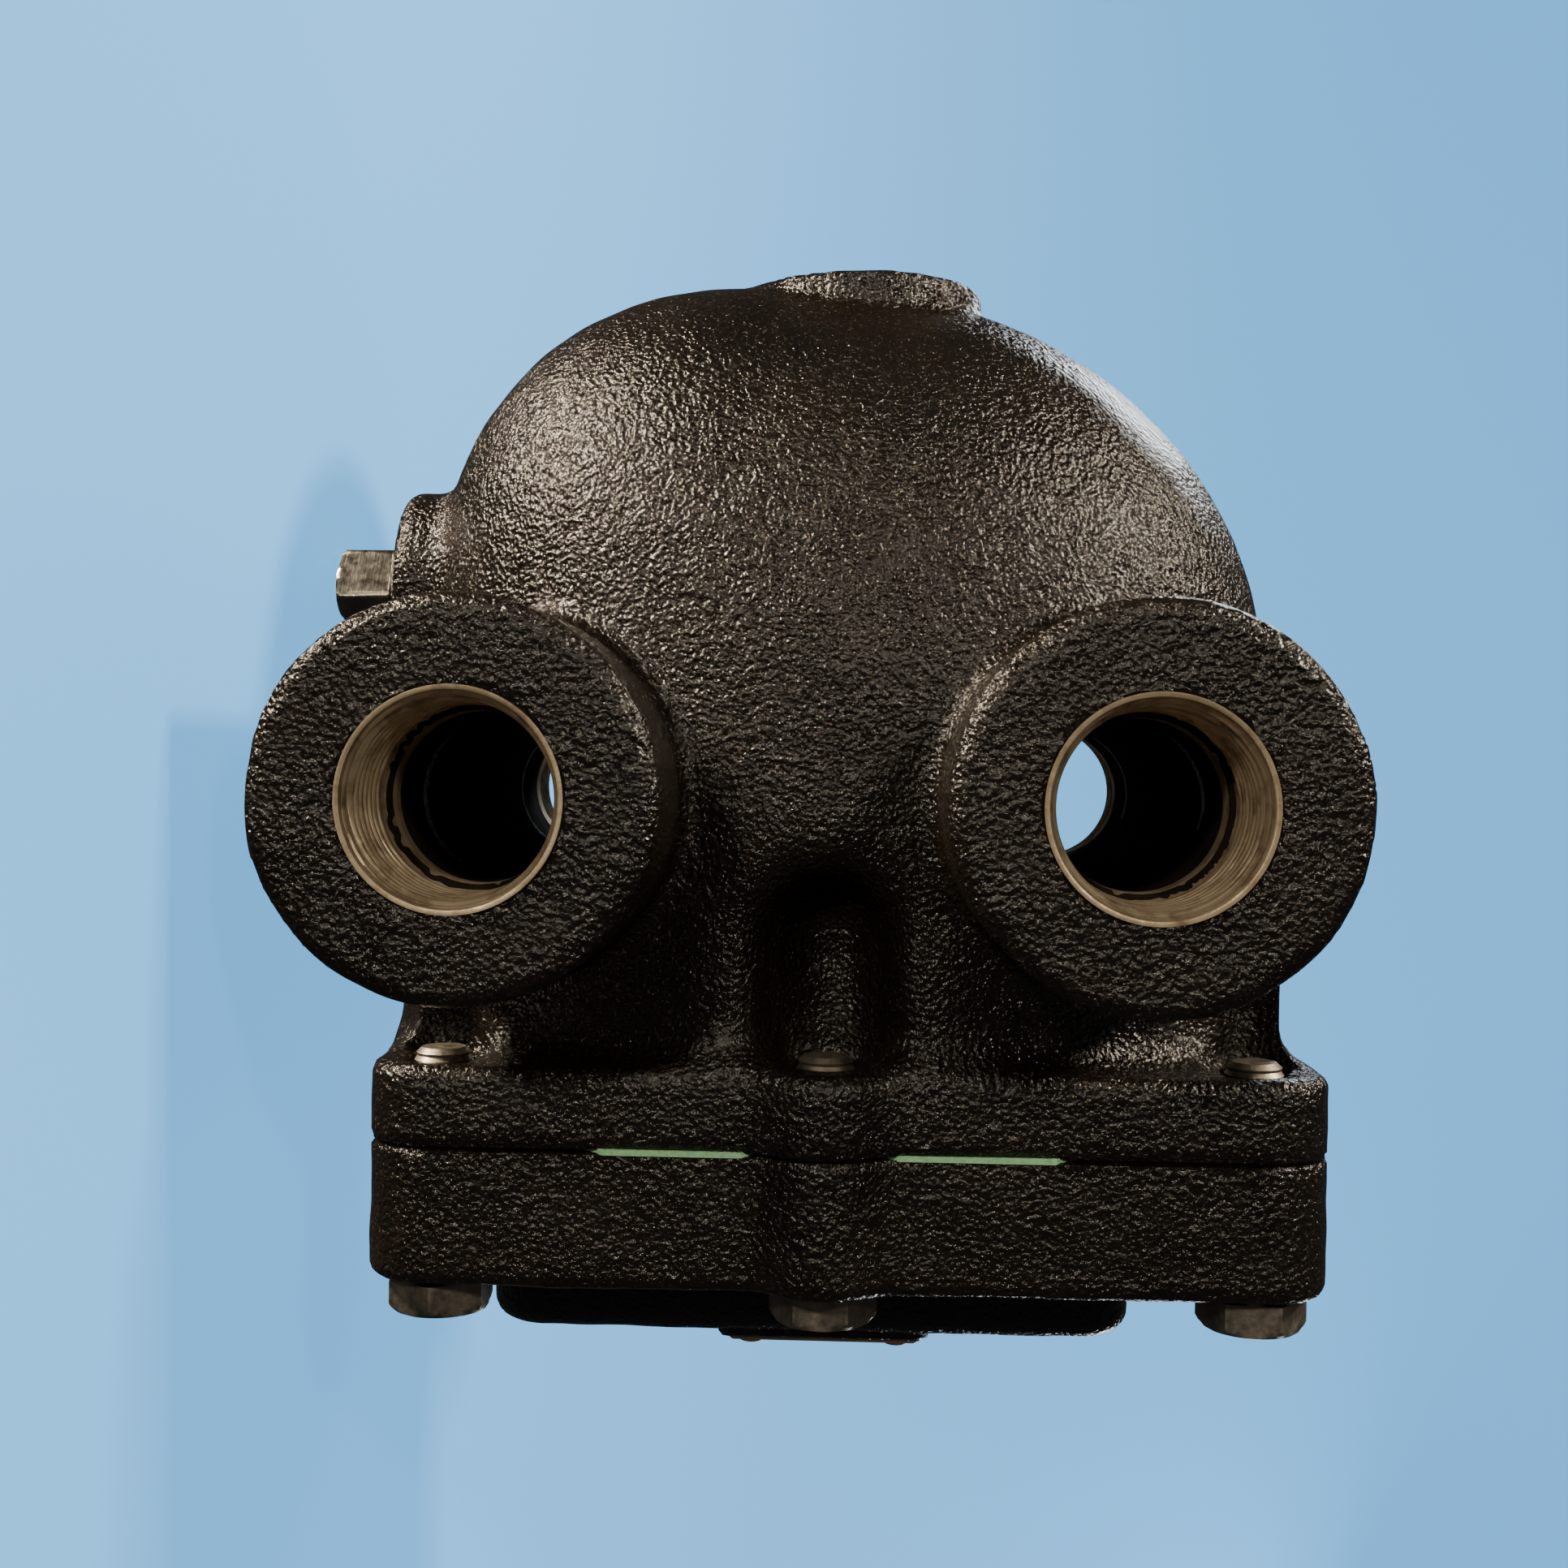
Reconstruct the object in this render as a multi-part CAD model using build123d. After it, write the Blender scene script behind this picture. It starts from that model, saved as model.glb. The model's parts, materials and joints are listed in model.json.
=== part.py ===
from build123d import *
import os
from math import asin, cos, radians, sin

# Float and thermostatic steam trap with a four-port (H-pattern) body, 3/4 inch NPT ports.
# Millimetres. The frame is the installed one: +Z is up, +Y runs along the two pipe runs,
# and +X points out through the bolted cover. The origin is the centre of the face of the
# front inlet port. The inlet run is the upper one, and the outlet run is the lower one.

# Ports and pipe runs
port_spacing = 84.14          # 3 5/16 inch between the inlet and the outlet axis
face_to_face = 144.0
boss_radius = 25.0
boss_depth = 36.0
boss_edge = 2.0
thread_radius = 12.3          # pitch radius of 3/4 inch NPT
thread_depth = 17.0
mouth_radius = 14.0
mouth_depth = 1.1
run_radius = 11.2             # cored bore between the two threaded ends
run_wall_radius = 17.0
mid_y = face_to_face / 2
outlet_z = -port_spacing

# Joint between the body and the cover
mating_x = 46.2               # face of the body flange
body_flange = 10.5
gasket_thickness = 0.8
cover_thickness = 18.0
cover_inner_x = mating_x + gasket_thickness
cover_outer_x = cover_inner_x + cover_thickness
flange_width = 96.0           # along Y
flange_length = 129.0         # along Z
flange_z = -36.9
flange_corner = 9.0
flange_edge = 1.5

# Gasket: it reaches the flange edge only along the middle of the long sides
gasket_inset = 3.0
gasket_flush_inset = 0.2
gasket_flush_length = 61.0
gasket_lip = 1.0              # it reaches this far past the chamber wall all round

# Six 5/16 inch cover bolts
bolt_radius = 3.95
bolt_hole = 4.0
bolt_length = 30.5
bolt_tip_chamfer = 0.8
washer_face = 0.4
head_flats = 12.7
head_height = 5.3
corner_inset = 9.5
centre_bolt_z = -39.5
centre_bolt_y = 40.0          # distance of the two centre bolts from the mid plane
lobe_radius = 11.0
lobe_y = 41.0
lobe_fillet = 4.0

# Float chamber
wall = 5.5
dome_z = -37.2
dome_radius = 61.0            # along X
dome_reach = 63.5             # along Z
dome_half_depth = 47.0        # along Y
dome_centre_x = -15.5
shoulder_radius = 44.0        # the lower shoulder is fuller than the upper one
shoulder_x = -33.5
shoulder_z = dome_z - dome_reach + shoulder_radius
dome_stations = (0, 18, 35, 50, 63, 73, 80)   # degrees round the dome, one section at each
pad_radius = 18.2
pad_top_x = -77.5
pad_root_x = -65.5
pad_z = -35.8
notch_radius = 9.0            # room in the wall for the tips of the centre bolts
notch_top_x = 14.0
return_radius = 6.5           # bore from the cover passage back to the outlet run
return_boss_radius = 11.0
window_width = 13.0           # opening from the inlet run into the chamber
window_length = 30.0

# Drain boss and 1/4 inch NPT plug
drain_x = -31.5
drain_boss_radius = 15.0
drain_face_z = -106.5
drain_root_z = -92.0
drain_thread_radius = 6.85
plug_radius = 6.8
plug_square = 9.5
plug_head = 8.5
plug_collar = 2.5
plug_depth = 11.5
plug_turn = 17.0

# Cover passage and its raised rib
rib_width = 58.0              # along Y
rib_length = 91.7             # along Z
rib_z = -41.8
rib_corner = 8.0
rib_height = 11.2
rib_edge = 3.0
passage_x = 59.5
passage_radius = 6.0
passage_low_z = -82.0

# Nameplate on its own low pad
plate_width = 48.0            # along Y
plate_length = 27.4           # along Z
plate_z = -39.7
plate_thickness = 0.8
plate_pad_height = 1.7
plate_pad_margin = 1.6
plate_corner = 1.2
plate_pin_radius = 1.2
plate_pin_head = 2.1
plate_pin_crown = 1.4
plate_pin_rise = 0.8
plate_pin_inset = 3.2
plate_pin_depth = 4.0

# Main valve
seat_z = -60.1
seat_flats = 17.0
seat_hex = 5.0
seat_lip_radius = 5.4
seat_lip = 1.5
seat_thread_radius = 6.9
seat_thread_depth = 8.0
seat_bore = 3.0
ring_thickness = 1.0

# Float lever: it turns about the pivot, and lifts the valve off the seat as the float rises
pivot_x = 36.0
pivot_z = -46.1
float_reach = 77.5
float_droop = 7.4             # degrees below the horizontal with the valve shut
float_radius = 28.0
float_skin = 0.7
float_boss_radius = 5.5
float_boss_end = 44.5         # distance of the boss face from the pivot
link_width = 8.0
cheek_inner = 6.0
cheek_outer = 8.5
hub_radius = 5.0
hub_half = 12.0
pin_radius = 2.5
pin_fit = 0.05                # radial play of a pin that turns
pin_head_radius = 4.0
pin_head = 1.5
pin_end = 2.5
clip_radius = 4.5
clip_sheet = 0.8
clip_gap = 0.3
clip_slot = 2.4
valve_pin_x = 31.5
valve_pin_radius = 1.5
valve_gap = 0.25
valve_disc_radius = 5.7
valve_disc = 3.6
valve_lug_half = 5.4
valve_lug_width = 7.0
valve_pin_overhang = 1.0
lever_pad = 3.0
lever_pad_height = 12.0
float_bead = 0.6
float_washer_radius = 4.6
float_washer_thickness = 1.0
float_screw_depth = 4.0

# Lever bracket
ear_inner = 12.5
ear_outer = 15.0
ear_width = 10.0
bracket_base = 3.0
bracket_low_z = -49.5
bracket_high_z = -29.0
bracket_screw_y = 8.0
bracket_screw_z = -34.0

# Thermostatic air vent
vent_z = -14.0
vent_flats = 14.0
vent_hex = 4.0
vent_lip_radius = 4.2
vent_lip = 1.5
vent_thread_radius = 5.0
vent_thread_depth = 6.0
vent_bore = 2.0
capsule_radius = 15.0
capsule_x = 29.0              # middle of the capsule
capsule_half = 3.0
capsule_rim = 0.8              # half the thickness of the joined rim
capsule_base = 13.0
capsule_crown = 4.7
plunger_radius = 2.0
plunger_ball = 3.2
plunger_travel = 2.0
plunger_play = 0.2
plunger_gap = 0.4             # left between the ball and the seat when shut
spacer_thickness = 1.2
spacer_foot_radius = 0.7
spacer_foot_turns = (30, 150, 270)
cage_half_width = 6.0
cage_span = 19.0
cage_foot = 29.0
cage_sheet = 1.5
cage_top_x = 22.5
cage_screw_y = 24.5
spring_large_end = (9.5, 8.5)  # outer and inner radius
spring_small_end = (5.0, 3.6)
small_screw_radius = 2.4
small_screw_hole = 2.6
small_screw_flats = 8.0
small_screw_head = 3.5
small_screw_depth = 5.5
small_screw_hole_depth = 6.0


# Plain building blocks

def rod(radius, start, end):
    """Cylinder from one point to another."""
    first, last = Vector(*start), Vector(*end)
    base = Plane(origin=first, z_dir=last - first)
    length = (last - first).length
    return base * Cylinder(radius, length, align=(Align.CENTER, Align.CENTER, Align.MIN))


def taper(first_radius, last_radius, start, end):
    """Cone frustum from one point to another."""
    first, last = Vector(*start), Vector(*end)
    base = Plane(origin=first, z_dir=last - first)
    length = (last - first).length
    return base * Cone(first_radius, last_radius, length, align=(Align.CENTER, Align.CENTER, Align.MIN))


def block(low, high):
    """Box between two corners."""
    size = [b - a for a, b in zip(low, high)]
    middle = [(a + b) / 2 for a, b in zip(low, high)]
    return Pos(*middle) * Box(*size)


def on_x(x):
    """Plane across the X axis: its own x is Y and its own y is Z."""
    return Plane(origin=(x, 0, 0), x_dir=(0, 1, 0), z_dir=(1, 0, 0))


def slab(sketch, low_x, high_x):
    """Sketch drawn in Y and Z, made solid between two values of X."""
    return extrude(on_x(low_x) * sketch, amount=high_x - low_x)


def hexagon(flats, low_x, high_x, y, z):
    """Hexagonal prism along X."""
    outline = Pos(y, z) * RegularPolygon(flats / 2, 6, major_radius=False)
    return slab(outline, low_x, high_x)


def link(start, end, width, low_y, high_y):
    """Flat bar with round ends between two points given as (x, z)."""
    run = Vector(end[0] - start[0], 0, end[1] - start[1])
    middle = ((start[0] + end[0]) / 2, low_y, (start[1] + end[1]) / 2)
    base = Plane(origin=middle, x_dir=run, z_dir=(0, 1, 0))
    return extrude(base * SlotCenterToCenter(run.length, width), amount=high_y - low_y)


def edges_at_x(shape, x):
    """Edges of a shape that lie in the plane of one X value."""
    return shape.edges().filter_by_position(Axis.X, x - 0.01, x + 0.01)


def save(name, *solids):
    """Write one node. A group of like pieces stays separate solids."""
    shape = solids[0] if len(solids) == 1 else Compound(children=list(solids))
    export_step(shape, f"parts/{name}.step")


# Shared layouts

def bolt_places():
    """Y and Z of the four corner bolts and the two centre bolts."""
    reach_y = flange_width / 2 - corner_inset
    reach_z = flange_length / 2 - corner_inset
    corners = [(mid_y + a * reach_y, flange_z + b * reach_z) for a in (-1, 1) for b in (-1, 1)]
    centres = [(mid_y + a * centre_bolt_y, centre_bolt_z) for a in (-1, 1)]
    return corners + centres


def flange_outline():
    """Rounded rectangle with a lobe in the middle of each long side."""
    outline = Pos(mid_y, flange_z) * RectangleRounded(flange_width, flange_length, flange_corner)
    for side in (-1, 1):
        outline += Pos(mid_y + side * lobe_y, centre_bolt_z) * Circle(lobe_radius)
    corners = [v for v in outline.vertices()
               if abs(abs(v.X - mid_y) - flange_width / 2) < 0.01 and abs(v.Y - centre_bolt_z) < lobe_radius]
    return fillet(corners, lobe_fillet)


def flange_slab(low_x, high_x, rounded_x):
    """Flange plate with its outer edge rounded on one face."""
    plate = slab(flange_outline(), low_x, high_x)
    return fillet(edges_at_x(plate, rounded_x), flange_edge)


def bolt_holes(low_x, high_x):
    return [rod(bolt_hole, (low_x, y, z), (high_x, y, z)) for y, z in bolt_places()]


def port_axes():
    """Z of the inlet run and of the outlet run."""
    return (0, outlet_z)


def dome_section(inset, x):
    """Oval section of the dome at one X, between its upper and its lower outline."""
    radius = dome_radius - inset
    rise = max(0, dome_centre_x - x)
    narrowing = (1 - (rise / radius) ** 2) ** 0.5
    high_z = dome_z + (dome_reach - inset) * narrowing
    low_radius = shoulder_radius - inset
    low_rise = max(0, shoulder_x - x)
    low_z = shoulder_z - (low_radius ** 2 - low_rise ** 2) ** 0.5
    half_depth = (dome_half_depth - inset) * narrowing
    return on_x(x) * Pos(mid_y, (high_z + low_z) / 2) * Ellipse(half_depth, (high_z - low_z) / 2)


def chamber_form(inset, open_x):
    """Domed oval chamber, drawn in from the outer surface by the inset."""
    radius = dome_radius - inset
    stations = [dome_centre_x - radius * sin(radians(turn)) for turn in dome_stations]
    sections = [dome_section(inset, x) for x in stations]
    return loft(sections) + extrude(dome_section(inset, dome_centre_x), amount=open_x - dome_centre_x)


# Body

def port_boss(z, side):
    """Round boss of one port, with its outer edge rounded."""
    face_y = 0 if side < 0 else face_to_face
    inner_y = face_y - side * boss_depth
    boss = rod(boss_radius, (0, inner_y, z), (0, face_y, z))
    rim = boss.edges().filter_by_position(Axis.Y, face_y - 0.01, face_y + 0.01)
    return fillet(rim, boss_edge)


def run_bore(z):
    """Straight-through pipe run with a threaded length and a chamfer at each end."""
    depths = ((0, mouth_radius), (mouth_depth, thread_radius), (thread_depth, thread_radius),
              (thread_depth + thread_radius - run_radius, run_radius))
    front = [(radius, depth) for depth, radius in depths]
    rear = [(radius, face_to_face - depth) for depth, radius in reversed(depths)]
    outline = Polyline((0, 0), *front, *rear, (0, face_to_face), close=True)
    return Pos(0, 0, z) * revolve(make_face(outline), Axis.Y)


def body_casting():
    flange_x = mating_x - body_flange
    open_x = mating_x + 1
    shape = chamber_form(0, flange_x + 1)
    shape += flange_slab(flange_x, mating_x, flange_x)
    for z in port_axes():
        shape += rod(run_wall_radius, (0, boss_depth, z), (0, face_to_face - boss_depth, z))
        for side in (-1, 1):
            shape += port_boss(z, side)
    shape += rod(drain_boss_radius, (drain_x, mid_y, drain_face_z), (drain_x, mid_y, drain_root_z))
    shape += rod(pad_radius, (pad_top_x, mid_y, pad_z), (pad_root_x, mid_y, pad_z))

    chamber = chamber_form(wall, open_x)
    for z in port_axes():
        chamber -= rod(run_wall_radius, (0, 0, z), (0, face_to_face, z))
    chamber -= rod(return_boss_radius, (0, mid_y, outlet_z), (open_x, mid_y, outlet_z))
    for side in (-1, 1):
        y = mid_y + side * centre_bolt_y
        wall_top_x = notch_top_x - wall
        chamber -= rod(notch_radius + wall, (wall_top_x, y, centre_bolt_z), (open_x, y, centre_bolt_z))
        shape -= rod(notch_radius, (notch_top_x, y, centre_bolt_z), (flange_x, y, centre_bolt_z))
    shape -= chamber

    for z in port_axes():
        shape -= run_bore(z)
    shape -= rod(return_radius, (0, mid_y, outlet_z), (mating_x, mid_y, outlet_z))
    shape -= block((-window_width / 2, mid_y - window_length / 2, -run_wall_radius - 1),
                   (window_width / 2, mid_y + window_length / 2, 0))
    shape -= rod(drain_thread_radius, (drain_x, mid_y, drain_face_z), (drain_x, mid_y, shoulder_z))
    for hole in bolt_holes(flange_x - 1, mating_x + 1):
        shape -= hole
    return shape


def drain_plug():
    """Square-headed taper plug, screwed into the drain boss from below."""
    collar_z = drain_face_z - plug_collar
    body = rod(plug_radius, (drain_x, mid_y, collar_z), (drain_x, mid_y, drain_face_z + plug_depth))
    head_z = collar_z - plug_head / 2
    head = Pos(drain_x, mid_y, head_z) * Rot(0, 0, plug_turn) * Box(plug_square, plug_square, plug_head)
    return body + head


# Cover and what closes it

def cover_casting():
    rib_top = cover_outer_x + rib_height
    pad_top = rib_top + plate_pad_height
    shape = flange_slab(cover_inner_x, cover_outer_x, cover_outer_x)
    rib_outline = Pos(mid_y, rib_z) * RectangleRounded(rib_width, rib_length, rib_corner)
    rib = slab(rib_outline, cover_outer_x - 1, rib_top)
    shape += fillet(edges_at_x(rib, rib_top), rib_edge)
    margin = 2 * plate_pad_margin
    pad = RectangleRounded(plate_width + margin, plate_length + margin, plate_pad_margin)
    shape += slab(Pos(mid_y, plate_z) * pad, rib_top - 1, pad_top)

    passage = rod(passage_radius, (passage_x, mid_y, passage_low_z), (passage_x, mid_y, vent_z))
    passage += Pos(passage_x, mid_y, passage_low_z) * Sphere(passage_radius)
    passage += Pos(passage_x, mid_y, vent_z) * Sphere(passage_radius)
    shape -= passage
    shape -= rod(return_radius, (cover_inner_x, mid_y, outlet_z), (passage_x, mid_y, outlet_z))
    shape -= rod(seat_thread_radius, (cover_inner_x, mid_y, seat_z), (passage_x, mid_y, seat_z))
    shape -= rod(vent_thread_radius, (cover_inner_x, mid_y, vent_z), (passage_x, mid_y, vent_z))
    hole_end_x = cover_inner_x + small_screw_hole_depth
    for y, z in small_screw_places():
        shape -= rod(small_screw_radius, (cover_inner_x, y, z), (hole_end_x, y, z))
    for y, z in plate_pin_places():
        shape -= rod(plate_pin_radius, (pad_top - plate_pin_depth, y, z), (pad_top, y, z))
    for hole in bolt_holes(cover_inner_x - 1, cover_outer_x + 1):
        shape -= hole
    return shape


def cover_gasket():
    """Flat sheet with the float opening, the return hole and the bolt holes."""
    inner_width = flange_width - 2 * gasket_inset
    inner_length = flange_length - 2 * gasket_inset
    flush_width = flange_width - 2 * gasket_flush_inset
    outline = Pos(mid_y, flange_z) * RectangleRounded(inner_width, inner_length, flange_corner - gasket_inset)
    outline += Pos(mid_y, centre_bolt_z) * RectangleRounded(flush_width, gasket_flush_length, gasket_inset)
    edge = wall + gasket_lip
    opening = Pos(mid_y, dome_z) * Ellipse(dome_half_depth - edge, dome_reach - edge)
    opening -= Pos(mid_y, outlet_z) * Circle(return_boss_radius)
    for side in (-1, 1):
        opening -= Pos(mid_y + side * centre_bolt_y, centre_bolt_z) * Circle(notch_radius + wall)
    outline -= opening
    outline -= Pos(mid_y, outlet_z) * Circle(return_radius)
    for y, z in bolt_places():
        outline -= Pos(y, z) * Circle(bolt_hole)
    return slab(outline, mating_x, cover_inner_x)


def cover_bolt(y, z):
    """Hexagon head bolt with a chamfered tip and a washer face under the head."""
    tip_x = cover_outer_x - bolt_length
    shank = rod(bolt_radius, (tip_x, y, z), (cover_outer_x + 1, y, z))
    shank = chamfer(edges_at_x(shank, tip_x), bolt_tip_chamfer)
    face = rod(head_flats / 2 - washer_face, (cover_outer_x, y, z), (cover_outer_x + 1, y, z))
    head = hexagon(head_flats, cover_outer_x + washer_face, cover_outer_x + head_height, y, z)
    return shank + face + head


def plate_pin_places():
    """Y and Z of the four drive pins."""
    reach_y = plate_width / 2 - plate_pin_inset
    reach_z = plate_length / 2 - plate_pin_inset
    return [(mid_y + a * reach_y, plate_z + b * reach_z) for a in (-1, 1) for b in (-1, 1)]


def nameplate():
    low_x = cover_outer_x + rib_height + plate_pad_height
    outline = Pos(mid_y, plate_z) * RectangleRounded(plate_width, plate_length, plate_corner)
    for y, z in plate_pin_places():
        outline -= Pos(y, z) * Circle(plate_pin_radius)
    return slab(outline, low_x, low_x + plate_thickness)


def nameplate_pin(y, z):
    """Round-headed drive pin."""
    seat_x = cover_outer_x + rib_height + plate_pad_height + plate_thickness
    tip_x = seat_x - plate_thickness - plate_pin_depth
    head = taper(plate_pin_head, plate_pin_crown, (seat_x, y, z), (seat_x + plate_pin_rise, y, z))
    return rod(plate_pin_radius, (tip_x, y, z), (seat_x, y, z)) + head


# Main valve and float

def seat_insert(z, flats, hex_height, lip_radius, lip, screwed_radius, screwed_length, bore):
    """Hexagonal seat screwed into the cover over a sealing ring."""
    base_x = cover_inner_x - ring_thickness
    hex_x = base_x - hex_height
    shape = hexagon(flats, hex_x, base_x, mid_y, z)
    shape += rod(lip_radius, (hex_x - lip, mid_y, z), (hex_x, mid_y, z))
    end_x = cover_inner_x + screwed_length
    shape += rod(screwed_radius - pin_fit, (base_x, mid_y, z), (end_x, mid_y, z))
    shape -= rod(bore, (hex_x - lip, mid_y, z), (end_x, mid_y, z))
    return shape


def seat_ring(z, flats, inner_radius):
    """Flat sealing ring between a seat and the cover."""
    base_x = cover_inner_x - ring_thickness
    ring = rod(flats / 2, (base_x, mid_y, z), (cover_inner_x, mid_y, z))
    return ring - rod(inner_radius, (base_x, mid_y, z), (cover_inner_x, mid_y, z))


def main_seat():
    return seat_insert(seat_z, seat_flats, seat_hex, seat_lip_radius, seat_lip,
                       seat_thread_radius, seat_thread_depth, seat_bore)


def vent_seat():
    return seat_insert(vent_z, vent_flats, vent_hex, vent_lip_radius, vent_lip,
                       vent_thread_radius, vent_thread_depth, vent_bore)


def along_arm(distance):
    """X and Z of a point on the float arm, measured from the pivot."""
    droop = radians(float_droop)
    return (pivot_x - distance * cos(droop), pivot_z - distance * sin(droop))


def arm_rod(radius, near, far):
    """Cylinder along the float arm between two distances from the pivot."""
    (x0, z0), (x1, z1) = along_arm(near), along_arm(far)
    return rod(radius, (x0, mid_y, z0), (x1, mid_y, z1))


def float_lever():
    """Two side plates joined by the hub and by the pad that carries the float."""
    pad_near = float_boss_end - lever_pad
    arm_end = along_arm(pad_near)
    valve_end = (valve_pin_x, seat_z)
    shape = rod(hub_radius, (pivot_x, mid_y - hub_half, pivot_z), (pivot_x, mid_y + hub_half, pivot_z))
    for side in (-1, 1):
        low_y, high_y = sorted((mid_y + side * cheek_inner, mid_y + side * cheek_outer))
        shape += link((pivot_x, pivot_z), arm_end, link_width, low_y, high_y)
        shape += link((pivot_x, pivot_z), valve_end, link_width, low_y, high_y)
    arm_x, arm_z = along_arm(pad_near + lever_pad / 2)
    plate = Box(lever_pad, 2 * cheek_outer, lever_pad_height)
    shape += Pos(arm_x, mid_y, arm_z) * Rot(0, -float_droop, 0) * plate
    shape -= arm_rod(lever_pad_height, float_boss_end, float_boss_end + lever_pad_height)
    shape -= rod(pin_radius + pin_fit, (pivot_x, 0, pivot_z), (pivot_x, face_to_face, pivot_z))
    shape -= rod(valve_pin_radius, (valve_pin_x, 0, seat_z), (valve_pin_x, face_to_face, seat_z))
    shape -= arm_rod(small_screw_radius, pad_near - 1, float_boss_end + 1)
    return shape


def float_ball():
    """Hollow ball of two pressed halves with a weld bead and a threaded boss."""
    x, z = along_arm(float_reach)
    ball = Pos(x, mid_y, z) * (Sphere(float_radius) - Sphere(float_radius - float_skin))
    ball += arm_rod(float_boss_radius, float_boss_end, float_reach - float_radius + float_skin)
    bead = Pos(x, mid_y, z) * Rot(0, 90 - float_droop, 0) * Torus(float_radius, float_bead)
    ball += bead
    return ball - arm_rod(small_screw_radius, float_boss_end, float_reach - float_radius - 1)


def float_washer():
    far = float_boss_end - lever_pad
    near = far - float_washer_thickness
    return arm_rod(float_washer_radius, near, far) - arm_rod(small_screw_hole, near, far)


def float_screw():
    near = float_boss_end - lever_pad - float_washer_thickness
    x, z = along_arm(near)
    droop = radians(float_droop)
    seat = Plane(origin=(x, mid_y, z), x_dir=(0, 1, 0), z_dir=(cos(droop), 0, sin(droop)))
    hexagon_outline = RegularPolygon(small_screw_flats / 2, 6, major_radius=False)
    head = extrude(seat * hexagon_outline, amount=small_screw_head)
    return head + arm_rod(small_screw_radius - pin_fit, near - 1, float_boss_end + float_screw_depth)


def valve_head():
    """Domed valve head with the lug that hangs it on the lever's cross pin.
    The dome is centred on the pin, so the head can swing on the pin without fouling the seat."""
    lip_x = cover_inner_x - ring_thickness - seat_hex - seat_lip
    dome_size = ((lip_x - valve_pin_x) ** 2 + seat_bore ** 2) ** 0.5 - valve_gap
    back = dome_size - valve_disc
    turn = asin(valve_disc_radius / dome_size) / 2
    rim = (dome_size * cos(2 * turn), valve_disc_radius)
    dome = ThreePointArc(rim, (dome_size * cos(turn), dome_size * sin(turn)), (dome_size, 0))
    side = Polyline((dome_size, 0), (back, 0), (back, valve_disc_radius), rim)
    shape = Pos(valve_pin_x, mid_y, seat_z) * revolve(make_face(side + dome), Axis.X)
    low_y, high_y = mid_y - valve_lug_half, mid_y + valve_lug_half
    back_x = valve_pin_x + back
    lug = link((valve_pin_x, seat_z), (back_x, seat_z), valve_lug_width, low_y, high_y)
    low_z, high_z = seat_z - valve_lug_width, seat_z + valve_lug_width
    shape += lug - block((back_x, low_y, low_z), (back_x + valve_lug_width, high_y, high_z))
    hole = valve_pin_radius + pin_fit
    return shape - rod(hole, (valve_pin_x, low_y, seat_z), (valve_pin_x, high_y, seat_z))


def valve_pin():
    reach = cheek_outer + valve_pin_overhang
    return rod(valve_pin_radius, (valve_pin_x, mid_y - reach, seat_z), (valve_pin_x, mid_y + reach, seat_z))


def lever_bracket():
    """Base plate screwed to the cover, with an ear on each side for the pivot pin."""
    base_x = cover_inner_x - bracket_base
    low_y, high_y = mid_y - ear_outer, mid_y + ear_outer
    shape = block((base_x, low_y, bracket_low_z), (cover_inner_x, high_y, bracket_high_z))
    foot = (cover_inner_x - ear_width / 2, pivot_z + ear_width / 2)
    for side in (-1, 1):
        low_y, high_y = sorted((mid_y + side * ear_inner, mid_y + side * ear_outer))
        shape += link((pivot_x, pivot_z), foot, ear_width, low_y, high_y)
    shape -= rod(pin_radius, (pivot_x, 0, pivot_z), (pivot_x, face_to_face, pivot_z))
    for side in (-1, 1):
        y = mid_y + side * bracket_screw_y
        shape -= rod(small_screw_hole, (base_x, y, bracket_screw_z), (cover_inner_x, y, bracket_screw_z))
    return shape


def pivot_pin():
    """Headed pin, held fast in the bracket's ears."""
    low_y = mid_y - ear_outer
    pin = rod(pin_radius, (pivot_x, low_y, pivot_z), (pivot_x, mid_y + ear_outer + pin_end, pivot_z))
    return pin + rod(pin_head_radius, (pivot_x, low_y - pin_head, pivot_z), (pivot_x, low_y, pivot_z))


def pivot_clip():
    """Retaining ring on the plain end of the pivot pin."""
    low_y = mid_y + ear_outer + clip_gap
    high_y = low_y + clip_sheet
    ring = rod(clip_radius, (pivot_x, low_y, pivot_z), (pivot_x, high_y, pivot_z))
    ring -= rod(pin_radius, (pivot_x, low_y, pivot_z), (pivot_x, high_y, pivot_z))
    slot_end_x = pivot_x + clip_radius + 1
    slot_half = clip_slot / 2
    return ring - block((pivot_x, low_y, pivot_z - slot_half), (slot_end_x, high_y, pivot_z + slot_half))


def small_screw(y, z, seat_x):
    """Hexagon head screw from the chamber side into the cover."""
    head = hexagon(small_screw_flats, seat_x - small_screw_head, seat_x, y, z)
    return head + rod(small_screw_radius - pin_fit, (seat_x, y, z), (cover_inner_x + small_screw_depth, y, z))


def bracket_screw_places():
    return [(mid_y + side * bracket_screw_y, bracket_screw_z) for side in (-1, 1)]


def cage_screw_places():
    return [(mid_y + side * cage_screw_y, vent_z) for side in (-1, 1)]


def small_screw_places():
    return bracket_screw_places() + cage_screw_places()


# Thermostatic air vent

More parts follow.
